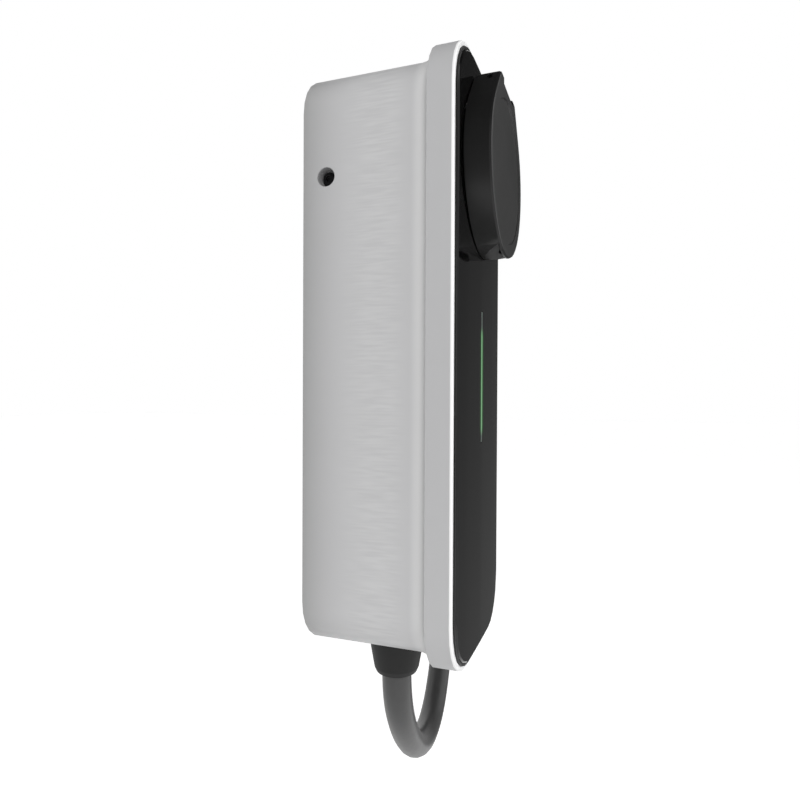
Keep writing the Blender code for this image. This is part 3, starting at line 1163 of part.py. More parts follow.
def make_lead():
    """Supply lead: the free stretch, the stored coil with its ties and the ferruled end."""
    bend = [(0.0035, 0.984, -0.2110), (0.0110, 0.952, -0.2260), (0.0250, 0.888, -0.2430),
            (0.0440, 0.795, -0.2610),
            (0.0660, 0.695, -0.2744), (0.0895, 0.586, -0.2820), (0.1127, 0.482, -0.2832),
            (0.1370, 0.373, -0.2760),
            (0.1580, 0.273, -0.2580), (0.1682, 0.221, -0.2442), (0.1758, 0.173, -0.2259),
            (0.1784, 0.129, -0.2062),
            (0.1758, 0.080, -0.1865), (0.1701, 0.040, -0.1717), (0.1639, 0.008, -0.1615)]
    route = [(0, CABLE_DEPTH, CABLE_START_Z), (0, CABLE_DEPTH, -0.182), (0, CABLE_DEPTH, -0.1965)]
    route += [(x, COIL_DEPTH + share * (CABLE_DEPTH - COIL_DEPTH), z) for x, share, z in bend]
    tube("supply_cable", route, CABLE_DIAMETER, "cable_rubber", CABLE_STEP)
    edge = CABLE_RADIUS * 0.45
    low, high = COIL_DEPTH - CABLE_RADIUS, COIL_FRONT
    ring = [(COIL_INNER + edge, low), (COIL_OUTER - edge, low), (COIL_OUTER, low + edge),
            (COIL_OUTER, high - edge),
            (COIL_OUTER - edge, high), (COIL_INNER + edge, high), (COIL_INNER, high - edge),
            (COIL_INNER, low + edge)]
    solid("cable_coil", facing_front(turned(ring, ROUND_STEPS, closed=True), COIL_X, COIL_Z),
          "cable_rubber")
    for name, angle in TIE_ANGLES.items():
        solid(f"coil_tie_{name}", tie(angle), "black_asa")
    make_lead_end()


def tie(angle):
    """Strap around the coil's turns with a screw base between the strap and the wall."""
    nearest = math.sqrt((COIL_INNER * math.cos(math.pi / ROUND_STEPS)) ** 2 - (TIE_WIDTH / 2) ** 2)

    def ring(grow, side):
        low, high = COIL_DEPTH - CABLE_RADIUS - grow, COIL_FRONT + grow
        inner, outer = nearest - grow, COIL_OUTER + grow
        round_off = TIE_ROUND + grow
        points = (arc((outer - round_off, high - round_off), round_off, 0, 90, 3)
                  + arc((inner + round_off, high - round_off), round_off, 90, 180, 3)
                  + arc((inner + round_off, low + round_off), round_off, 180, 270, 3)
                  + arc((outer - round_off, low + round_off), round_off, 270, 360, 3))
        return [(side * TIE_WIDTH / 2, -depth, radius) for radius, depth in points]
    outer = GAP + TIE_THICKNESS
    strap = loft([ring(GAP, -1), ring(GAP, 1), ring(outer, 1), ring(outer, -1)], closed=True)
    back = COIL_DEPTH - CABLE_RADIUS - outer
    base = bar((-TIE_BASE_WIDTH / 2, TIE_BASE_WIDTH / 2), (GAP, back - GAP),
               (COIL_RADIUS - TIE_BASE_LENGTH / 2, COIL_RADIUS + TIE_BASE_LENGTH / 2), TIE_BASE_EDGE)
    foot = bar((-TIE_FOOT_WIDTH / 2, TIE_FOOT_WIDTH / 2), (back - 2 * GAP, back + 2 * GAP),
               (COIL_RADIUS - TIE_FOOT_LENGTH / 2, COIL_RADIUS + TIE_FOOT_LENGTH / 2))
    helper = solid("tie_strap", strap, "black_asa")
    fuse(helper, base, foot)
    bpy.context.view_layer.update()
    mesh = bpy.data.meshes.new_from_object(helper.evaluated_get(bpy.context.evaluated_depsgraph_get()))
    for leftover in (helper, bpy.data.objects["tie_strap_union"]):
        bpy.data.objects.remove(leftover, do_unlink=True)
    bm = bmesh.new()
    bm.from_mesh(mesh)
    turn = Matrix.Translation((COIL_X, 0, COIL_Z)) @ Matrix.Rotation(math.radians(90 - angle), 4, "Y")
    bmesh.ops.transform(bm, matrix=turn, verts=bm.verts)
    return bm


def make_lead_end():
    """Shrunk sleeve and five ferruled cores, lying on the coil's front where the lead stops."""
    radius = CABLE_RADIUS + GAP
    depth = COIL_FRONT + GAP + radius
    core, ferrule = CORE_DIAMETER / 2, FERRULE_DIAMETER / 2
    sleeve = turned([(0, 0), (radius, 0), (radius, LEAD_SLEEVE - LEAD_SLEEVE_TAPER),
                     (CORE_CIRCLE + core, LEAD_SLEEVE),
                     (0, LEAD_SLEEVE)], 16)
    low, middle = LEAD_SLEEVE - LEAD_SLEEVE_TAPER / 2, LEAD_SLEEVE + LEAD_CORES
    profile = [(0, low), (core, low), (core, middle), (ferrule, middle + core - ferrule),
               (ferrule, middle + FERRULE_LENGTH), (0, middle + FERRULE_LENGTH)]
    cores = []
    for index in range(len(WIRE_FINISH)):
        angle = math.tau * index / len(WIRE_FINISH)
        cores.append(moved(turned(profile, 8), CORE_CIRCLE * math.cos(angle),
                           CORE_CIRCLE * math.sin(angle)))
    along = math.radians(LEAD_END_ANGLE)
    heading = Vector((math.sin(along), 0, -math.cos(along)))
    place = Vector((COIL_X + COIL_RADIUS * math.cos(along), -depth,
                    COIL_Z + COIL_RADIUS * math.sin(along)))
    turn = Matrix.Translation(place) @ heading.to_track_quat("Z", "Y").to_matrix().to_4x4()
    for piece in (sleeve, *cores):
        bmesh.ops.transform(piece, matrix=turn, verts=piece.verts)
    end = solid("lead_end", sleeve, "seal_rubber")
    fuse(end, *cores)


def main():
    """Build every piece."""
    clear_scene()
    make_housing()
    make_rear_base()
    make_side_screws()
    make_front()
    make_front_panel()
    make_status_light()
    hinge = pivot("lid_hinge", HINGE_AXIS)
    bpy.context.view_layer.update()
    make_lid(hinge)
    make_hinge_hardware()
    make_socket()
    make_plug_lock()
    make_power_board()
    make_front_boards()
    make_wires()
    make_gland()
    make_lead()


main()
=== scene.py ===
"""Dresses the wall box for charging electric cars: camera, studio, lead, case, front, lid and inside.

Lengths are metres unless a name ends in _mm. X runs across the box, -Y points away from the wall, Z is up.
"""
from __future__ import annotations

import logging
import math
from dataclasses import dataclass
from enum import Enum

import bmesh
import bpy
from mathutils import Matrix, Vector

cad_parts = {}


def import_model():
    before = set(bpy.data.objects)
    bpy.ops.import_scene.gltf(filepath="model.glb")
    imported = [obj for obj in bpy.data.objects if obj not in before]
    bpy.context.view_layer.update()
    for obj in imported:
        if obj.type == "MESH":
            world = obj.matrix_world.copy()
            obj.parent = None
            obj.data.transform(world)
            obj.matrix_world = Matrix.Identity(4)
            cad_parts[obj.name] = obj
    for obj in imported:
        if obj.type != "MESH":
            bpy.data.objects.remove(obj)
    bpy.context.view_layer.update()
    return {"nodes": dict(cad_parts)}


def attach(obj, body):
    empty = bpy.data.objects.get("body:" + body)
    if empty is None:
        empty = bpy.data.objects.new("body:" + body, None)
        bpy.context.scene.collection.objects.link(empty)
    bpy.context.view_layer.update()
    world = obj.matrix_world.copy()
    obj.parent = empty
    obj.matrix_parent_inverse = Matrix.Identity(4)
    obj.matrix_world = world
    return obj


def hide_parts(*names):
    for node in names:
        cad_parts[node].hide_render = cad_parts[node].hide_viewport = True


log = logging.getLogger("wall_box")

Tree = bpy.types.NodeTree
Node = bpy.types.Node
Socket = bpy.types.NodeSocket
Colour = tuple[float, float, float, float]
Triple = tuple[float, float, float]

MM = 0.001
METRE_MM = 1000.0
WHITE: Colour = (1.0, 1.0, 1.0, 1.0)
BLACK: Colour = (0.0, 0.0, 0.0, 1.0)

# Corners sharper than SHARP stay sharp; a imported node's doubles and its nearly flat faces are joined
SHARP = math.radians(32)
MERGE_MM = 0.002
FLAT = math.radians(0.6)
EDGE_SEGMENTS = 2
FACE_WEIGHT = 100

# Octaves of the noise in a finish
MOTTLE_DETAIL = 4.0
GRAIN_DETAIL = 3.0
STROKE_DETAIL = 1.0

# Sockets of the colour mix node
MIX_SHARE, MIX_UNDER, MIX_OVER, MIX_RESULT = 0, 6, 7, 2


class Body(Enum):
    """Rigid bodies that pieces ride on."""

    BOX = "wallbox"
    LID = "lid"
    LOCK_PIN = "lock_pin"


def linear(code: str) -> Colour:
    """Turn an sRGB hex code into a linear colour.

    Args:
        code: six hex digits.

    Returns:
        Red, green, blue and alpha.
    """
    parts = [int(code[i:i + 2], 16) / 255 for i in (0, 2, 4)]
    return (*[p / 12.92 if p <= 0.04045 else ((p + 0.055) / 1.055) ** 2.4 for p in parts], 1.0)


def add_node(tree: Tree, kind: str, settings: dict | None = None, links: dict | None = None) -> Node:
    """Add a node with its settings and its incoming links.

    Args:
        tree: the node tree.
        kind: the node's type.
        settings: values of its inputs, or of its own properties where no input has that name.
        links: input name or index to the socket that feeds it.

    Returns:
        The node.
    """
    node = tree.nodes.new(kind)
    for key, value in (settings or {}).items():
        if isinstance(key, int) or key in node.inputs:
            node.inputs[key].default_value = value
        else:
            setattr(node, key, value)
    for key, socket in (links or {}).items():
        tree.links.new(socket, node.inputs[key])
    return node


def compute(tree: Tree, operation: str, *values: Socket | float) -> Socket:
    """Add a math node.

    Args:
        tree: the node tree.
        operation: what it does.
        values: its inputs in order, each a socket or a number.

    Returns:
        The result's socket.
    """
    numbers = {i: value for i, value in enumerate(values) if not isinstance(value, Socket)}
    sockets = {i: value for i, value in enumerate(values) if isinstance(value, Socket)}
    return add_node(tree, "ShaderNodeMath", {"operation": operation, **numbers}, sockets).outputs[0]


def ramp(tree: Tree, value: Socket, start: float, end: float,
         low: float = 0.0, high: float = 1.0, smooth: bool = False) -> Socket:
    """Map a value's way from start to end onto low to high.

    Args:
        tree: the node tree.
        value: the value.
        start: where the result is low.
        end: where the result is high.
        low: the result at and before the start.
        high: the result at and past the end.
        smooth: whether both ends are eased.

    Returns:
        The result's socket.
    """
    settings = {"From Min": start, "From Max": end, "To Min": low, "To Max": high}
    if smooth:
        settings["interpolation_type"] = "SMOOTHSTEP"
    return add_node(tree, "ShaderNodeMapRange", settings, {"Value": value}).outputs[0]


def noise(tree: Tree, place: Socket, size_mm: float, detail: float) -> Socket:
    """Add noise from 0 to 1.

    Args:
        tree: the node tree.
        place: the position that it reads.
        size_mm: size of its clouds.
        detail: octaves of finer noise in it.

    Returns:
        The noise's socket.
    """
    settings = {"Scale": METRE_MM / size_mm, "Detail": detail}
    return add_node(tree, "ShaderNodeTexNoise", settings, {"Vector": place}).outputs["Fac"]


def axis(tree: Tree, place: Socket, name: str) -> Socket:
    """One coordinate of a position in a node tree: "X", "Y" or "Z"."""
    return add_node(tree, "ShaderNodeSeparateXYZ", {}, {0: place}).outputs[name]


def blend(tree: Tree, share: Socket, under: Socket | Colour, over: Colour) -> Socket:
    """Lay one colour over another.

    Args:
        tree: the node tree.
        share: 0 where only the colour below shows and 1 where only the one above does.
        under: the colour below, as a socket or fixed.
        over: the colour above.

    Returns:
        The mixed colour's socket.
    """
    node = add_node(tree, "ShaderNodeMix", {"data_type": "RGBA", MIX_OVER: over}, {MIX_SHARE: share})
    if isinstance(under, Socket):
        tree.links.new(under, node.inputs[MIX_UNDER])
    else:
        node.inputs[MIX_UNDER].default_value = under
    return node.outputs[MIX_RESULT]


@dataclass(frozen=True)
class Finish:
    """A surface as it was made: a colour with a slight mottle, gloss with a slight smear, a fine grain."""

    name: str
    colour: str
    mottle: str
    roughness: float
    smear: float = 0.05
    metallic: float = 0.0
    specular: float = 0.5
    mottle_mm: float = 30.0
    grain_mm: float = 0.6
    grain_depth_mm: float = 0.01
    coat: float = 0.0

    def height(self, tree: Tree, place: Socket) -> tuple[Socket, float]:
        """Fine grain of the surface.

        Args:
            tree: the node tree.
            place: the position that the pattern reads.

        Returns:
            The height's socket and its depth in metres.
        """
        return noise(tree, place, self.grain_mm, GRAIN_DETAIL), self.grain_depth_mm * MM

    def material(self) -> bpy.types.Material:
        """Make the finish as a material, once.

        Returns:
            The material.
        """
        found = bpy.data.materials.get(self.name)
        if found:
            return found
        made = bpy.data.materials.new(self.name)
        made.use_nodes = True
        tree = made.node_tree
        shader = tree.nodes["Principled BSDF"]
        place = add_node(tree, "ShaderNodeTexCoord").outputs["Object"]
        cloud = noise(tree, place, self.mottle_mm, MOTTLE_DETAIL)
        tint = blend(tree, cloud, linear(self.colour), linear(self.mottle))
        gloss = ramp(tree, cloud, 0.0, 1.0, self.roughness - self.smear, self.roughness + self.smear)
        relief, depth = self.height(tree, place)
        bump = add_node(tree, "ShaderNodeBump", {"Strength": 1.0, "Distance": depth}, {"Height": relief})
        tree.links.new(tint, shader.inputs["Base Color"])
        tree.links.new(gloss, shader.inputs["Roughness"])
        tree.links.new(bump.outputs["Normal"], shader.inputs["Normal"])
        shader.inputs["Metallic"].default_value = self.metallic
        shader.inputs["Specular IOR Level"].default_value = self.specular
        shader.inputs["Coat Weight"].default_value = self.coat
        self.finish_off(tree, shader, place)
        return made

    def finish_off(self, tree: Tree, shader: Node, place: Socket) -> None:
        """Add what only this kind of finish has; a plain one has nothing more.

        Args:
            tree: the node tree.
            shader: its shader.
            place: the position that patterns read.
        """


@dataclass(frozen=True)
class CasePlastic(Finish):
    """Moulded case plastic: level strokes on the sides, a rear that rolls back with painted shade, a painted
    highlight on the flare, painted shade on the flange, a painted highlight on the lip.

    Places are Y values, from the front at about -0.09 to the wall at 0.
    """

    stroke_mm: float = 1.5
    stroke_length_mm: float = 17.0
    stroke_depth_mm: float = 0.03
    stroke_contrast: tuple[float, float] = (0.35, 0.65)
    stroke_span: tuple[float, float] = (-0.064, -0.020)
    stroke_fade: tuple[float, float] = (0.012, 0.022)
    stroke_share: float = 0.40
    stroke_colour: str = "CCCCCC"
    roll_start: float = -0.030
    roll_power: float = 2.0
    roll_depth_mm: float = 3.2
    # Painted shade: the rear is darkened towards the wall, along the rounding
    rear_painted_shade: str = "9B9B9B"
    flare: float = -0.0704
    flare_half: float = 0.0066
    # Painted highlight: a paler band along the flare
    flare_painted_highlight: str = "CFCFCF"
    flange: float = -0.0752
    flange_fade: float = 0.0006
    # Painted shade: the flange is darker than the rest of the case
    flange_painted_shade: str = "B4B4B5"
    lip: float = -0.0883
    lip_fade: float = 0.0003
    # Painted highlight: a near-white front lip
    lip_painted_highlight: str = "F4F4F4"

    def strokes(self, tree: Tree, place: Socket) -> Socket:
        """Level strokes that fade out before the flare and before the rear.

        Args:
            tree: the node tree.
            place: the position that the pattern reads.

        Returns:
            The strokes' socket, 0 to 1.
        """
        long, short = METRE_MM / self.stroke_length_mm, METRE_MM / self.stroke_mm
        drawn = add_node(tree, "ShaderNodeMapping", {"Scale": (long, long, short)}, {"Vector": place})
        sharp = ramp(tree, noise(tree, drawn.outputs[0], METRE_MM, STROKE_DETAIL), *self.stroke_contrast)
        depth = axis(tree, place, "Y")
        (front, rear), (front_fade, rear_fade) = self.stroke_span, self.stroke_fade
        rise = ramp(tree, depth, front, front + front_fade, smooth=True)
        fall = ramp(tree, depth, rear, rear - rear_fade, smooth=True)
        return compute(tree, "MULTIPLY", sharp, compute(tree, "MULTIPLY", rise, fall))

    def roll(self, tree: Tree, place: Socket) -> Socket:
        """Rounding of the side towards the wall, which bends the normals and also sets where painted shade
        darkens the rear.

        Args:
            tree: the node tree.
            place: the position that the pattern reads.

        Returns:
            The rounding's socket, 0 on the side and 1 at the wall.
        """
        return compute(tree, "POWER", ramp(tree, axis(tree, place, "Y"), self.roll_start, 0.0),
                       self.roll_power)

    def height(self, tree: Tree, place: Socket) -> tuple[Socket, float]:
        """Grain, strokes and the rear roll.

        Args:
            tree: the node tree.
            place: the position that the pattern reads.

        Returns:
            The height's socket in metres, and 1 as its depth.
        """
        grain = noise(tree, place, self.grain_mm, GRAIN_DETAIL)
        fine = compute(tree, "MULTIPLY", grain, self.grain_depth_mm * MM)
        ribbed = compute(tree, "MULTIPLY_ADD", self.strokes(tree, place), self.stroke_depth_mm * MM, fine)
        return compute(tree, "MULTIPLY_ADD", self.roll(tree, place), -self.roll_depth_mm * MM, ribbed), 1.0

    def finish_off(self, tree: Tree, shader: Node, place: Socket) -> None:
        """Tint strokes, then add painted shade on the rear roll, a painted highlight on the flare, painted
        shade on the flange and a painted highlight on the front lip, in this order.

        Args:
            tree: the node tree.
            shader: its shader.
            place: the position that patterns read.
        """
        depth = axis(tree, place, "Y")
        drawn = compute(tree, "MULTIPLY", self.strokes(tree, place), self.stroke_share)
        far = compute(tree, "ABSOLUTE", compute(tree, "SUBTRACT", depth, self.flare))
        # Stroke tints, then painted shade on the rear and flange and painted highlights on the flare and lip
        strokes_and_painted_light = (
            (drawn, self.stroke_colour),
            (self.roll(tree, place), self.rear_painted_shade),
            (ramp(tree, far, self.flare_half, 0.0, smooth=True), self.flare_painted_highlight),
            (ramp(tree, depth, self.flange + self.flange_fade, self.flange, smooth=True), self.flange_painted_shade),
            (ramp(tree, depth, self.lip + self.lip_fade, self.lip), self.lip_painted_highlight),
        )
        colour = shader.inputs["Base Color"].links[0].from_socket
        for share, code in strokes_and_painted_light:
            colour = blend(tree, share, colour, linear(code))
        tree.links.new(colour, shader.inputs["Base Color"])


@dataclass(frozen=True)
class LitSpan:
    """The stretch of the light line that is lit; both ends of the line stay dark."""

    middle_z: float = -0.0120
    half_length: float = 0.0325
    fade: float = 0.0060

    def level(self, tree: Tree, place: Socket, strength: float) -> Socket:
        """Light along the line.

        Args:
            tree: the node tree.
            place: the position that it reads.
            strength: the light in the middle.

        Returns:
            The strength's socket.
        """
        far = compute(tree, "ABSOLUTE", compute(tree, "SUBTRACT", axis(tree, place, "Z"), self.middle_z))
        return ramp(tree, far, self.half_length, self.half_length - self.fade, 0.0, strength, smooth=True)


@dataclass(frozen=True)
class LitGuide(Finish):
    """Milky light guide, lit from behind along its middle."""

    glow: str = "5A9A5E"
    strength: float = 0.84
    span: LitSpan = LitSpan()

    def finish_off(self, tree: Tree, shader: Node, place: Socket) -> None:
        """Light the guide.

        Args:
            tree: the node tree.
            shader: its shader.
            place: the position that patterns read.
        """
        lit = self.span.level(tree, place, self.strength)
        tree.links.new(lit, shader.inputs["Emission Strength"])
        shader.inputs["Emission Color"].default_value = linear(self.glow)


@dataclass(frozen=True)
class SmokedFront(Finish):
    """Gloss front whose smoked sheet has a painted green glow from the light line beside it."""

    # Painted glow: colour, strength and reach of the green glow beside the light line
    glow: str = "2C6A30"
    strength: float = 0.60
    reach: float = 0.0060
    span: LitSpan = LitSpan()

    def finish_off(self, tree: Tree, shader: Node, place: Socket) -> None:
        """Paint a green glow on both sides of the line, as emission of the sheet.

        Args:
            tree: the node tree.
            shader: its shader.
            place: the position that patterns read.
        """
        aside = compute(tree, "ABSOLUTE", axis(tree, place, "X"))
        near = ramp(tree, aside, self.reach, 0.0, smooth=True)
        painted_glow = compute(tree, "MULTIPLY", near, self.span.level(tree, place, self.strength))
        tree.links.new(painted_glow, shader.inputs["Emission Strength"])
        shader.inputs["Emission Color"].default_value = linear(self.glow)


@dataclass(frozen=True)
class CircuitBoard(Finish):
    """Green board with copper runs under the lacquer."""

    run_mm: float = 2.4
    runs_a_block: float = 4.0
    gap_share: float = 0.04
    run_colour: str = "2F6B4A"

    def finish_off(self, tree: Tree, shader: Node, place: Socket) -> None:
        """Lay copper runs as blocks of a lighter green.

        Args:
            tree: the node tree.
            shader: its shader.
            place: the position that patterns read.
        """
        upright = add_node(tree, "ShaderNodeMapping", {"Rotation": (math.radians(90), 0, 0)},
                           {"Vector": place})
        runs = add_node(tree, "ShaderNodeTexBrick", {
            "Color1": linear(self.colour), "Color2": linear(self.run_colour), "Mortar": linear(self.mottle),
            "Scale": METRE_MM / (self.run_mm * self.runs_a_block), "Mortar Size": self.gap_share},
            {"Vector": upright.outputs[0]})
        tree.links.new(runs.outputs["Color"], shader.inputs["Base Color"])


# Light grey ASA with a satin face from a sparked tool: soft broad highlights, no mirror image; its rear and
# flange carry painted shade and its flare and lip painted highlights
GREY_ASA = CasePlastic("grey_asa_satin", "BCBCBD", "B8B8B9", 0.42, grain_mm=0.5, grain_depth_mm=0.006)
# Black ASA, lightly textured: the lid shows a soft grey sheen and no mirror image
BLACK_ASA = Finish("black_asa_satin", "161616", "191919", 0.36, specular=0.30,
                   grain_mm=0.4, grain_depth_mm=0.006)
# Gloss black front, back-painted: deep black with a weak, clear image of what stands before it, and a painted
# green glow beside the light line
BLACK_GLASS = SmokedFront("black_front_gloss", "0A0A0A", "0C0C0C", 0.035, smear=0.005, specular=0.28,
                          grain_depth_mm=0.0)
# Glass-filled nylon in the base, gland and lock: dark and dull
DARK_NYLON = Finish("dark_nylon", "3A3B3D", "404144", 0.60, grain_mm=0.8, grain_depth_mm=0.015)
# Dark sheet in the screw cup, painted shade: dull mid grey, so that the cup reads darker than the case
CUP_SHADE = Finish("painted_shade_cup", "9A9A9B", "909091", 0.55, grain_mm=0.8, grain_depth_mm=0.01)
# EPDM rubber of seals and boot: dull with a faint bloom
EPDM_RUBBER = Finish("epdm_rubber", "191919", "202020", 0.58, smear=0.08, specular=0.25, mottle_mm=6.0,
                     grain_mm=0.7, grain_depth_mm=0.02)
# Rubber sheath of the lead: satin with a slight drag from the extruder
RUBBER_SHEATH = Finish("rubber_sheath", "2E2E2E", "383838", 0.40, smear=0.06, specular=0.55, mottle_mm=4.0,
                       grain_mm=0.9, grain_depth_mm=0.03)
# Stainless steel, turned: bright with a fine smear
STEEL = Finish("stainless_steel", "C9CACB", "B9BABC", 0.28, smear=0.08, metallic=1.0, mottle_mm=2.0,
               grain_mm=0.3, grain_depth_mm=0.004)
# Blackened steel of the side screws: a dark grey with one light crescent
DARK_STEEL = Finish("blackened_steel", "3E3E40", "343436", 0.34, smear=0.06, metallic=1.0, mottle_mm=2.0,
                    grain_mm=0.3, grain_depth_mm=0.004)
# Silver over brass: warm white, slightly tarnished
SILVERED = Finish("silvered_brass", "E6E2D6", "CFC9B8", 0.25, smear=0.06, metallic=1.0, mottle_mm=3.0,
                  grain_depth_mm=0.002)
# Lacquered epoxy board: green with a clear coat over its copper
BOARD = CircuitBoard("circuit_board_lacquer", "1F5238", "17402C", 0.35, coat=0.3)
# Housings of relays and supply: plain grey PBT
MODULE = Finish("module_pbt", "8E9093", "85878A", 0.50, grain_depth_mm=0.01)
# Polyamide of the terminal block: a greenish grey, dull
TERMINAL = Finish("terminal_polyamide", "7C8280", "757B79", 0.50, grain_depth_mm=0.01)
# Ceramic of the fuse: warm white with a glaze
CERAMIC = Finish("fuse_ceramic", "E4DFD2", "D8D2C4", 0.30, grain_depth_mm=0.003)
# Vinyl of the flat ribbon: pale grey, its cores seen as a fine mottle
RIBBON = Finish("ribbon_vinyl", "A9ABAE", "9EA0A3", 0.45, mottle_mm=1.3)
# Milky acrylic of the light line: grey where it is dark, green where it is lit
LIGHT = LitGuide("light_guide_milky", "55605A", "4E5853", 0.35, grain_depth_mm=0.001)
# Vinyl insulation of the wires: satin, in the colours that installers know
WIRES = {
    "l1": Finish("insulation_brown", "5A3420", "54301D", 0.42),
    "l2": Finish("insulation_black", "1E1E1F", "232324", 0.42),
    "l3": Finish("insulation_grey", "85878A", "7E8083", 0.42),
    "n": Finish("insulation_blue", "2A4F96", "27498B", 0.42),
    "pe": Finish("insulation_green_yellow", "9DB33A", "5E9A36", 0.42, mottle_mm=5.0),
    "cp": Finish("insulation_white", "D6D6D2", "CFCFCB", 0.42),
    "pp": Finish("insulation_white_too", "D6D6D2", "CFCFCB", 0.42),
}
PILOT_WIRES = ("cp", "pp")


@dataclass
class Frame:
    """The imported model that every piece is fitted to."""

    nodes: dict[str, bpy.types.Object]

    def paint(self, finish: Finish, *names: str) -> None:
        """Give CAD nodes a finish in their own slots.

        Args:
            finish: the finish.
            names: the nodes.
        """
        for name in names:
            for slot in self.nodes[name].material_slots:
                slot.material = finish.material()
            log.info("%s: %s", name, finish.name)

    def merged(self, node: str) -> bmesh.types.BMesh:
        """Copy a node's mesh with its doubles merged and its flat faces joined.

        Args:
            node: the node's name.

        Returns:
            The mesh, which the caller frees.
        """
        bm = bmesh.new()
        bm.from_mesh(self.nodes[node].data)
        bmesh.ops.remove_doubles(bm, verts=bm.verts, dist=MERGE_MM * MM)
        bmesh.ops.dissolve_limit(bm, angle_limit=FLAT, verts=bm.verts, edges=bm.edges)
        return bm

    def shell(self, node: str, name: str, finish: Finish, slot: str, body: Body,
              edge_mm: float = 0.0) -> bpy.types.Object:
        """Make a smooth piece that stands for a node, with softened edges.

        Args:
            node: the node it replaces.
            name: the piece's name.
            finish: its finish.
            slot: the material slot's name.
            body: the body it rides on.
            edge_mm: width of the softened edges.

        Returns:
            The piece.
        """
        obj = make_object(name, self.merged(node), finish)
        soften(obj, edge_mm)
        return settle(obj, body, slot, node)


def make_object(name: str, bm: bmesh.types.BMesh, finish: Finish) -> bpy.types.Object:
    """Make a smooth-shaded object at the origin from a mesh in place.

    Args:
        name: the object's name.
        bm: the mesh, which is freed.
        finish: its finish.

    Returns:
        The object.
    """
    mesh = bpy.data.meshes.new(name)
    bm.to_mesh(mesh)
    bm.free()
    mesh.materials.clear()
    mesh.materials.append(finish.material())
    for polygon in mesh.polygons:
        polygon.material_index = 0
    mesh.shade_smooth()
    mesh.set_sharp_from_angle(angle=SHARP)
    obj = bpy.data.objects.new(name, mesh)
    bpy.context.scene.collection.objects.link(obj)
    return obj


def soften(obj: bpy.types.Object, edge_mm: float) -> None:
    """Round the sharp edges a little and let large flat faces keep their own direction.

    Args:
        obj: the piece.
        edge_mm: width of the rounding; none if 0.
    """
    if edge_mm:
        bevel = obj.modifiers.new("edges", "BEVEL")
        bevel.width = edge_mm * MM
        bevel.segments = EDGE_SEGMENTS
        bevel.limit_method = "ANGLE"
        bevel.angle_limit = SHARP
        bevel.harden_normals = False
    weighted = obj.modifiers.new("flats", "WEIGHTED_NORMAL")
    weighted.keep_sharp = True
    weighted.weight = FACE_WEIGHT


def settle(obj: bpy.types.Object, body: Body, slot: str, *nodes: str) -> bpy.types.Object:
    """Put a piece on its body and hide the nodes that it replaces.

    Args:
        obj: the piece.
        body: the body it rides on.
        slot: the material slot's name; not used.
        nodes: the nodes it replaces.

    Returns:
        The piece.
    """
    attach(obj, body.value)
    if nodes:
        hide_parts(*nodes)
    log.info("%s on %s", obj.name, body.value)
    return obj


@dataclass(frozen=True)
class ViewCamera:
    """Camera at the photograph's viewpoint, worked out from the case's edges; angles in degrees."""

    place: Triple = (-0.34911, -0.16786, -0.02003)
    heading: float = 20.014
    pitch: float = -0.478
    roll: float = 0.259
    lens_mm: float = 27.104
    sensor_mm: float = 36.0
    nearest: float = 0.01

    def build(self) -> None:
        """Make the camera and set it."""
        heading, pitch, roll = (math.radians(a) for a in (self.heading, self.pitch, self.roll))
        ahead = Vector((math.cos(heading) * math.cos(pitch), math.sin(heading) * math.cos(pitch),
                        math.sin(pitch)))
        level = Vector((math.sin(heading), -math.cos(heading), 0))
        up = level.cross(ahead)
        right = math.cos(roll) * level + math.sin(roll) * up
        top = math.cos(roll) * up - math.sin(roll) * level
        data = bpy.data.cameras.new("view")
        data.lens = self.lens_mm
        data.sensor_width = self.sensor_mm
        data.clip_start = self.nearest
        camera = bpy.data.objects.new("view", data)
        turn = Matrix((right, top, -ahead)).transposed().to_4x4()
        camera.matrix_world = Matrix.Translation(self.place) @ turn
        bpy.context.scene.collection.objects.link(camera)
        bpy.context.scene.camera = camera


@dataclass(frozen=True)
class Card:
    """A dark card that only gloss sees; an upright one is darker at its top than towards the floor."""

    name: str
    place: Triple
    width: float
    tall: float
    low: float
    high: float
    overhead: bool = False

    def build(self) -> None:
        """Make the card and leave it out of the object."""
        bm = bmesh.new()
        bmesh.ops.create_grid(bm, x_segments=1, y_segments=1, size=0.5)
        bmesh.ops.scale(bm, verts=bm.verts, vec=(self.tall, self.width, 1))
        if not self.overhead:
            bmesh.ops.rotate(bm, verts=bm.verts, matrix=Matrix.Rotation(math.radians(-90), 3, "Y"))
        bmesh.ops.translate(bm, verts=bm.verts, vec=self.place)
        mesh = bpy.data.meshes.new(self.name)
        bm.to_mesh(mesh)
        bm.free()
        mesh.materials.append(self.material())
        obj = bpy.data.objects.new(self.name, mesh)
        obj.visible_camera = False
        obj.visible_diffuse = False
        obj.visible_shadow = False
        bpy.context.scene.collection.objects.link(obj)

    def material(self) -> bpy.types.Material:
        """Make a dull black that glows a little, by the card's levels from its foot to its top.

        Returns:
            The material.
        """
        dark = bpy.data.materials.new(self.name)
        dark.use_nodes = True
        tree = dark.node_tree
        shader = tree.nodes["Principled BSDF"]
        shader.inputs["Base Color"].default_value = BLACK
        shader.inputs["Specular IOR Level"].default_value = 0.0
        shader.inputs["Emission Color"].default_value = WHITE
        middle, half = self.place[2], self.tall / 2
        where = add_node(tree, "ShaderNodeTexCoord").outputs["Object"]
        glow = ramp(tree, axis(tree, where, "Z"), middle - half, middle + half, self.low, self.high)
        tree.links.new(glow, shader.inputs["Emission Strength"])
        return dark


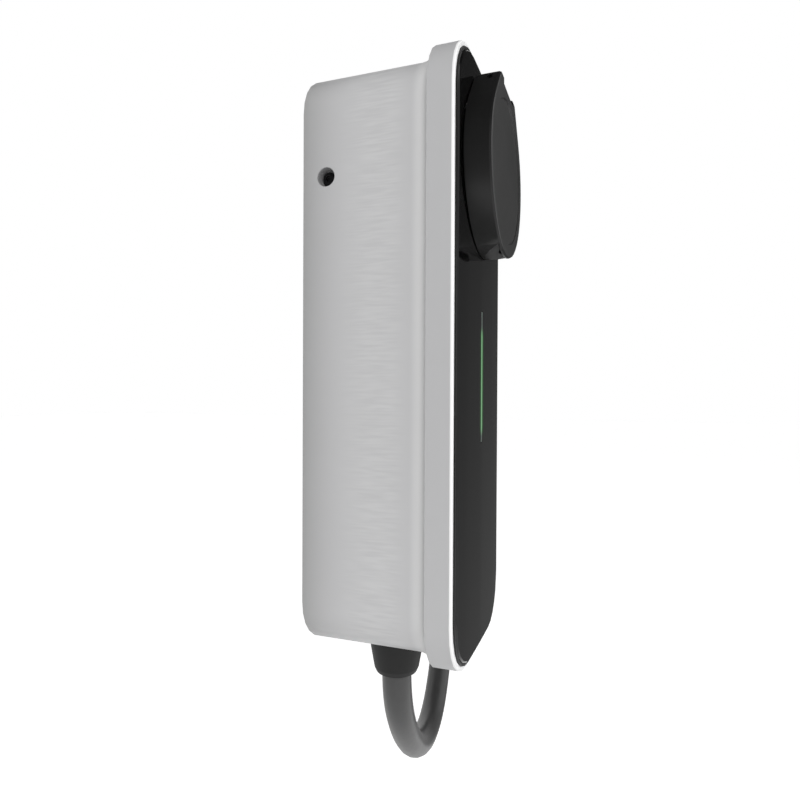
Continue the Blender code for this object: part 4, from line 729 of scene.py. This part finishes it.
@dataclass(frozen=True)
class Lamp:
    """A square soft lamp that faces the box and leaves no highlight: gloss shows the room and the cards."""

    name: str
    place: Triple
    size: float
    watts: float

    def build(self) -> None:
        """Make the lamp."""
        data = bpy.data.lights.new(self.name, "AREA")
        data.size = self.size
        data.energy = self.watts
        obj = bpy.data.objects.new(self.name, data)
        obj.visible_glossy = False
        towards_box = (-Vector(self.place)).to_track_quat("-Z", "Y").to_matrix().to_4x4()
        obj.matrix_world = Matrix.Translation(self.place) @ towards_box
        bpy.context.scene.collection.objects.link(obj)


@dataclass(frozen=True)
class Studio:
    """White room with soft lamps; the floor keeps the shadow."""

    floor_z: float = -0.62
    floor_size: float = 30.0
    floor_colour: str = "E8E8E8"
    floor_roughness: float = 0.9
    floor_glow: float = 0.55
    ambient: float = 0.50
    lamps: tuple[Lamp, ...] = (
        Lamp("side_lamp", (-2.2, -1.1, 1.1), 1.6, 37.0),
        Lamp("front_lamp", (0.6, -2.6, 1.2), 1.4, 17.0),
        Lamp("low_lamp", (1.6, -1.6, -0.45), 0.9, 9.0),
        Lamp("under_lamp", (-1.0, -0.9, -0.55), 0.8, 2.5),
    )
    cards: tuple[Card, ...] = (
        Card("card_beside", (0.62, -0.235, 0.09), 0.36, 1.42, 0.19, 0.008),
        Card("card_behind", (-1.30, 0.10, 0.60), 2.40, 2.20, 0.30, 0.02),
        Card("card_overhead", (0.10, -0.40, 1.72), 3.00, 2.80, 0.04, 0.04, overhead=True),
    )

    def build(self) -> None:
        """Make world, floor, cards and lamps."""
        bpy.context.scene.view_settings.view_transform = "Standard"
        world = bpy.data.worlds.new("white_room")
        world.use_nodes = True
        tree = world.node_tree
        back = tree.nodes["Background"]
        level = ramp(tree, self.seen_directly(tree), 0.0, 1.0, self.ambient, 1.0)
        tree.links.new(level, back.inputs["Strength"])
        back.inputs["Color"].default_value = WHITE
        bpy.context.scene.world = world
        self.floor()
        for thing in (*self.cards, *self.lamps):
            thing.build()

    @staticmethod
    def seen_directly(tree: Tree) -> Socket:
        """Tell camera, glossy and transmission rays from the rest.

        Args:
            tree: the node tree.

        Returns:
            A socket that is 1 for these rays and 0 for others.
        """
        path = add_node(tree, "ShaderNodeLightPath").outputs
        two = compute(tree, "MAXIMUM", path["Is Camera Ray"], path["Is Glossy Ray"])
        return compute(tree, "MAXIMUM", two, path["Is Transmission Ray"])

    def floor(self) -> None:
        """Make a pale floor that shows white where no shadow falls."""
        bm = bmesh.new()
        bmesh.ops.create_grid(bm, x_segments=1, y_segments=1, size=self.floor_size / 2)
        bmesh.ops.translate(bm, verts=bm.verts, vec=(0, 0, self.floor_z))
        mesh = bpy.data.meshes.new("floor")
        bm.to_mesh(mesh)
        bm.free()
        pale = bpy.data.materials.new("pale_floor")
        pale.use_nodes = True
        tree = pale.node_tree
        shader = tree.nodes["Principled BSDF"]
        shader.inputs["Base Color"].default_value = linear(self.floor_colour)
        shader.inputs["Roughness"].default_value = self.floor_roughness
        shader.inputs["Emission Color"].default_value = WHITE
        glow = compute(tree, "MULTIPLY", self.seen_directly(tree), self.floor_glow)
        tree.links.new(glow, shader.inputs["Emission Strength"])
        mesh.materials.append(pale)
        obj = bpy.data.objects.new("floor", mesh)
        bpy.context.scene.collection.objects.link(obj)


@dataclass
class SupplyLead:
    """Five-core supply lead of 1.5 m: out of the boot, in a loose U, and wound up against the wall.

    A bend point is X, a share of the way from the coil's depth to the exit's, and Z. Along the coil, places
    are degrees swept since the lead met it: drawn_in_by is where the first turn has its full tightness, and
    inward and climbing say where a change begins and how many degrees it takes.
    """

    frame: Frame
    diameter: float = 0.0182
    length: float = 1.5
    exit: Triple = (0.0, -0.0393, -0.1945)
    straight: tuple[float, ...] = (-0.1760, -0.1820, -0.1965)
    bend: tuple[Triple, ...] = (
        (0.0035, 0.984, -0.2110), (0.0110, 0.952, -0.2260), (0.0250, 0.888, -0.2430),
        (0.0440, 0.795, -0.2610), (0.0660, 0.695, -0.2744), (0.0895, 0.586, -0.2820),
        (0.1127, 0.482, -0.2832), (0.1370, 0.373, -0.2760), (0.1580, 0.273, -0.2580),
        (0.1682, 0.221, -0.2442), (0.1758, 0.173, -0.2259), (0.1784, 0.129, -0.2062),
        (0.1758, 0.080, -0.1865), (0.1701, 0.040, -0.1717), (0.1639, 0.008, -0.1615))
    coil: tuple[float, float] = (0.2600, -0.0920)
    coil_depth: float = 0.0144
    coil_start: float = 215.9
    turns: Triple = (0.1186, 0.1001, 0.0816)
    drawn_in_by: float = 100.0
    inward: tuple[float, float] = (330.0, 130.0)
    climbing: tuple[float, float] = (591.0, 83.0)
    tail_depth: float = 0.0332
    tail_radius: float = 0.0910
    swept_step: int = 6
    swept_last: float = 674.6
    round_steps: int = 6
    point_steps: int = 3
    smoothness: int = 4

    def loose_part(self) -> list[Vector]:
        """Lay the lead from the boot through the U to the coil, as the CAD lead has it.

        Returns:
            The points.
        """
        front = -self.exit[1]
        points = [Vector((0, -front, z)) for z in self.straight]
        for x, share, z in self.bend:
            points.append(Vector((x, -self.coil_depth - share * (front - self.coil_depth), z)))
        return points

    def wound_part(self) -> list[Vector]:
        """Lay the coil's turns and the tail that climbs onto them.

        Returns:
            The points.
        """
        first, outer, inner = self.turns
        points = []
        for swept in (*range(self.swept_step, int(self.swept_last), self.swept_step), self.swept_last):
            inwards = self.ease((swept - self.inward[0]) / self.inward[1])
            climb = self.ease((swept - self.climbing[0]) / self.climbing[1])
            radius = first + (outer - first) * self.ease(swept / self.drawn_in_by)
            radius += (inner - outer) * inwards
            radius += (self.tail_radius - inner) * climb
            angle = math.radians(self.coil_start - swept)
            points.append(Vector((self.coil[0] + radius * math.cos(angle),
                                  -self.coil_depth - (self.tail_depth - self.coil_depth) * climb,
                                  self.coil[1] + radius * math.sin(angle))))
        return points

    @staticmethod
    def ease(share: float) -> float:
        """Smooth step from 0 to 1."""
        share = min(max(share, 0.0), 1.0)
        return share * share * (3 - 2 * share)

    def build(self) -> None:
        """Make the lead as one curve and dress its ties and its end."""
        curve = bpy.data.curves.new("lead_sheath", "CURVE")
        curve.dimensions = "3D"
        curve.bevel_depth = self.diameter / 2
        curve.bevel_resolution = self.round_steps
        curve.use_fill_caps = True
        points = self.loose_part() + self.wound_part()
        spline = curve.splines.new("NURBS")
        spline.points.add(len(points) - 1)
        for point, place in zip(spline.points, points):
            point.co = (*place, 1.0)
        spline.order_u = self.smoothness
        spline.use_endpoint_u = True
        spline.resolution_u = self.point_steps
        curve.materials.append(RUBBER_SHEATH.material())
        lead = bpy.data.objects.new("lead_sheath", curve)
        bpy.context.scene.collection.objects.link(lead)
        settle(lead, Body.BOX, "cable_rubber", "supply_cable", "cable_coil")
        ties = [self.frame.shell(f"coil_tie_{where}", f"lead_tie_{where}", BLACK_ASA, "black_asa",
                                 Body.BOX, 0.4) for where in ("top", "low")]
        end = self.frame.shell("lead_end", "lead_ferrules", EPDM_RUBBER, "seal_rubber", Body.BOX)


@dataclass
class Case:
    """Grey housing with its flare, the tray behind it and the screws in its sides."""

    frame: Frame
    cup_depth: float = -0.0152
    cup_height: float = 0.0998
    cup_floor: float = 0.0450
    cup_mouth: float = 0.0505
    cup_radius: float = 0.00538
    cup_segments: int = 48
    lining_wall: float = 0.0003

    def cup_shade_sheet(self, side: int) -> bpy.types.Object:
        """Line a screw cup with a dark sheet that paints the shade in its recess.

        Its points are written out one by one, so that the mesh has the same order at each run.

        Args:
            side: -1 for the left cup and 1 for the right one.

        Returns:
            The sheet.
        """
        bore = self.cup_radius - self.lining_wall / math.cos(math.pi / self.cup_segments)
        rims = ((self.cup_mouth, self.cup_radius), (self.cup_floor, self.cup_radius),
                (self.cup_floor, bore), (self.cup_mouth, bore))
        turns = [math.tau * step / self.cup_segments for step in range(self.cup_segments)]
        bm = bmesh.new()
        rings = [[bm.verts.new((side * reach, self.cup_depth + radius * math.cos(turn),
                                self.cup_height + radius * math.sin(turn))) for turn in turns]
                 for reach, radius in rims]
        for ring, other in zip(rings, rings[1:] + rings[:1]):
            for i in range(self.cup_segments):
                bm.faces.new((ring[i - 1], ring[i], other[i], other[i - 1]))
        bmesh.ops.recalc_face_normals(bm, faces=bm.faces)
        obj = make_object(f"cup_shade_sheet_{'left' if side < 0 else 'right'}", bm, CUP_SHADE)
        return settle(obj, Body.BOX, "dark_moulding")

    def build(self) -> None:
        """Dress the case."""
        # Dark sheets in the screw cups paint the shade inside them
        for side in (-1, 1):
            self.cup_shade_sheet(side)
        self.frame.shell("housing", "case_shell", GREY_ASA, "grey_asa", Body.BOX)
        self.frame.shell("rear_base", "wall_tray", DARK_NYLON, "dark_moulding", Body.BOX, 0.3)
        for side in ("left", "right"):
            self.frame.shell(f"security_screw_{side}", f"side_screw_{side}", DARK_STEEL, "steel",
                             Body.BOX, 0.15)
        self.frame.paint(EPDM_RUBBER, "front_gasket")


@dataclass
class BlackFront:
    """Carrier frame, gloss front and light line."""

    frame: Frame

    def build(self) -> None:
        """Dress the front."""
        self.frame.shell("front_frame", "front_carrier", BLACK_ASA, "black_asa", Body.BOX, 0.15)
        self.frame.shell("front_panel", "gloss_front", BLACK_GLASS, "black_glass", Body.BOX, 0.4)
        self.frame.shell("light_guide", "light_line", LIGHT, "light_guide", Body.BOX, 0.1)


@dataclass
class SocketLid:
    """Round lid with its seal, pin and spring."""

    frame: Frame

    def build(self) -> None:
        """Dress the lid and its hinge."""
        self.frame.shell("lid", "socket_lid", BLACK_ASA, "black_asa", Body.LID, 0.3)
        self.frame.shell("lid_seal", "lid_face_seal", EPDM_RUBBER, "seal_rubber", Body.LID, 0.4)
        self.frame.shell("lid_pin", "hinge_pin", STEEL, "steel", Body.BOX, 0.2)
        self.frame.paint(STEEL, "lid_spring")


@dataclass
class ChargingSocket:
    """Shroud, insert, contacts and plug lock."""

    frame: Frame

    def build(self) -> None:
        """Dress the socket."""
        self.frame.shell("socket_shroud", "socket_collar", BLACK_ASA, "black_asa", Body.BOX, 0.2)
        self.frame.shell("socket_insert", "socket_core", BLACK_ASA, "black_asa", Body.BOX, 0.4)
        for name in WIRES:
            self.frame.shell(f"contact_{name}", f"sleeve_{name}", SILVERED, "silvered_brass",
                             Body.BOX, 0.15)
        self.frame.shell("lock_pin", "lock_bolt", STEEL, "steel", Body.LOCK_PIN, 0.3)
        self.frame.paint(DARK_NYLON, "lock_actuator")


@dataclass
class Gland:
    """Rubber boot, as short as the photograph shows it, and the gland inside it."""

    frame: Frame
    boot_share: float = 0.88

    def boot(self) -> bpy.types.Object:
        """Draw the boot's lower end up towards the housing.

        Returns:
            The boot.
        """
        bm = self.frame.merged("strain_boot")
        top = max(vert.co.z for vert in bm.verts)
        bmesh.ops.translate(bm, verts=bm.verts, vec=(0, 0, -top))
        bmesh.ops.scale(bm, verts=bm.verts, vec=(1, 1, self.boot_share))
        bmesh.ops.translate(bm, verts=bm.verts, vec=(0, 0, top))
        obj = make_object("lead_boot", bm, EPDM_RUBBER)
        soften(obj, 0.3)
        return settle(obj, Body.BOX, "seal_rubber", "strain_boot")

    def build(self) -> None:
        """Dress the gland."""
        self.boot()
        self.frame.paint(DARK_NYLON, "gland_body", "gland_nut")
        self.frame.paint(EPDM_RUBBER, "gland_seal")


@dataclass
class Inside:
    """Boards, modules and wires behind the front."""

    frame: Frame

    def build(self) -> None:
        """Dress what the housing hides."""
        self.frame.paint(BOARD, "power_board", "control_board", "led_board", "antenna_board")
        self.frame.paint(MODULE, "relay_left", "relay_right", "power_supply")
        self.frame.paint(DARK_NYLON, "current_sensor")
        self.frame.paint(TERMINAL, "terminal_block")
        self.frame.paint(CERAMIC, "fuse")
        self.frame.paint(RIBBON, "ribbon_cable")
        for name, finish in WIRES.items():
            self.frame.paint(finish, f"wire_{name}")
            if name not in PILOT_WIRES:
                self.frame.paint(finish, f"core_{name}")


def main() -> None:
    """Build every class in order."""
    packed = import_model()
    frame = Frame(packed["nodes"])
    ViewCamera().build()
    Studio().build()
    for part in (SupplyLead(frame), Case(frame), BlackFront(frame), SocketLid(frame),
                 ChargingSocket(frame), Gland(frame), Inside(frame)):
        log.info("%s", type(part).__name__)
        part.build()


if __name__ == "__main__":
    logging.basicConfig(level=logging.INFO, format="%(name)s: %(message)s")
    main()
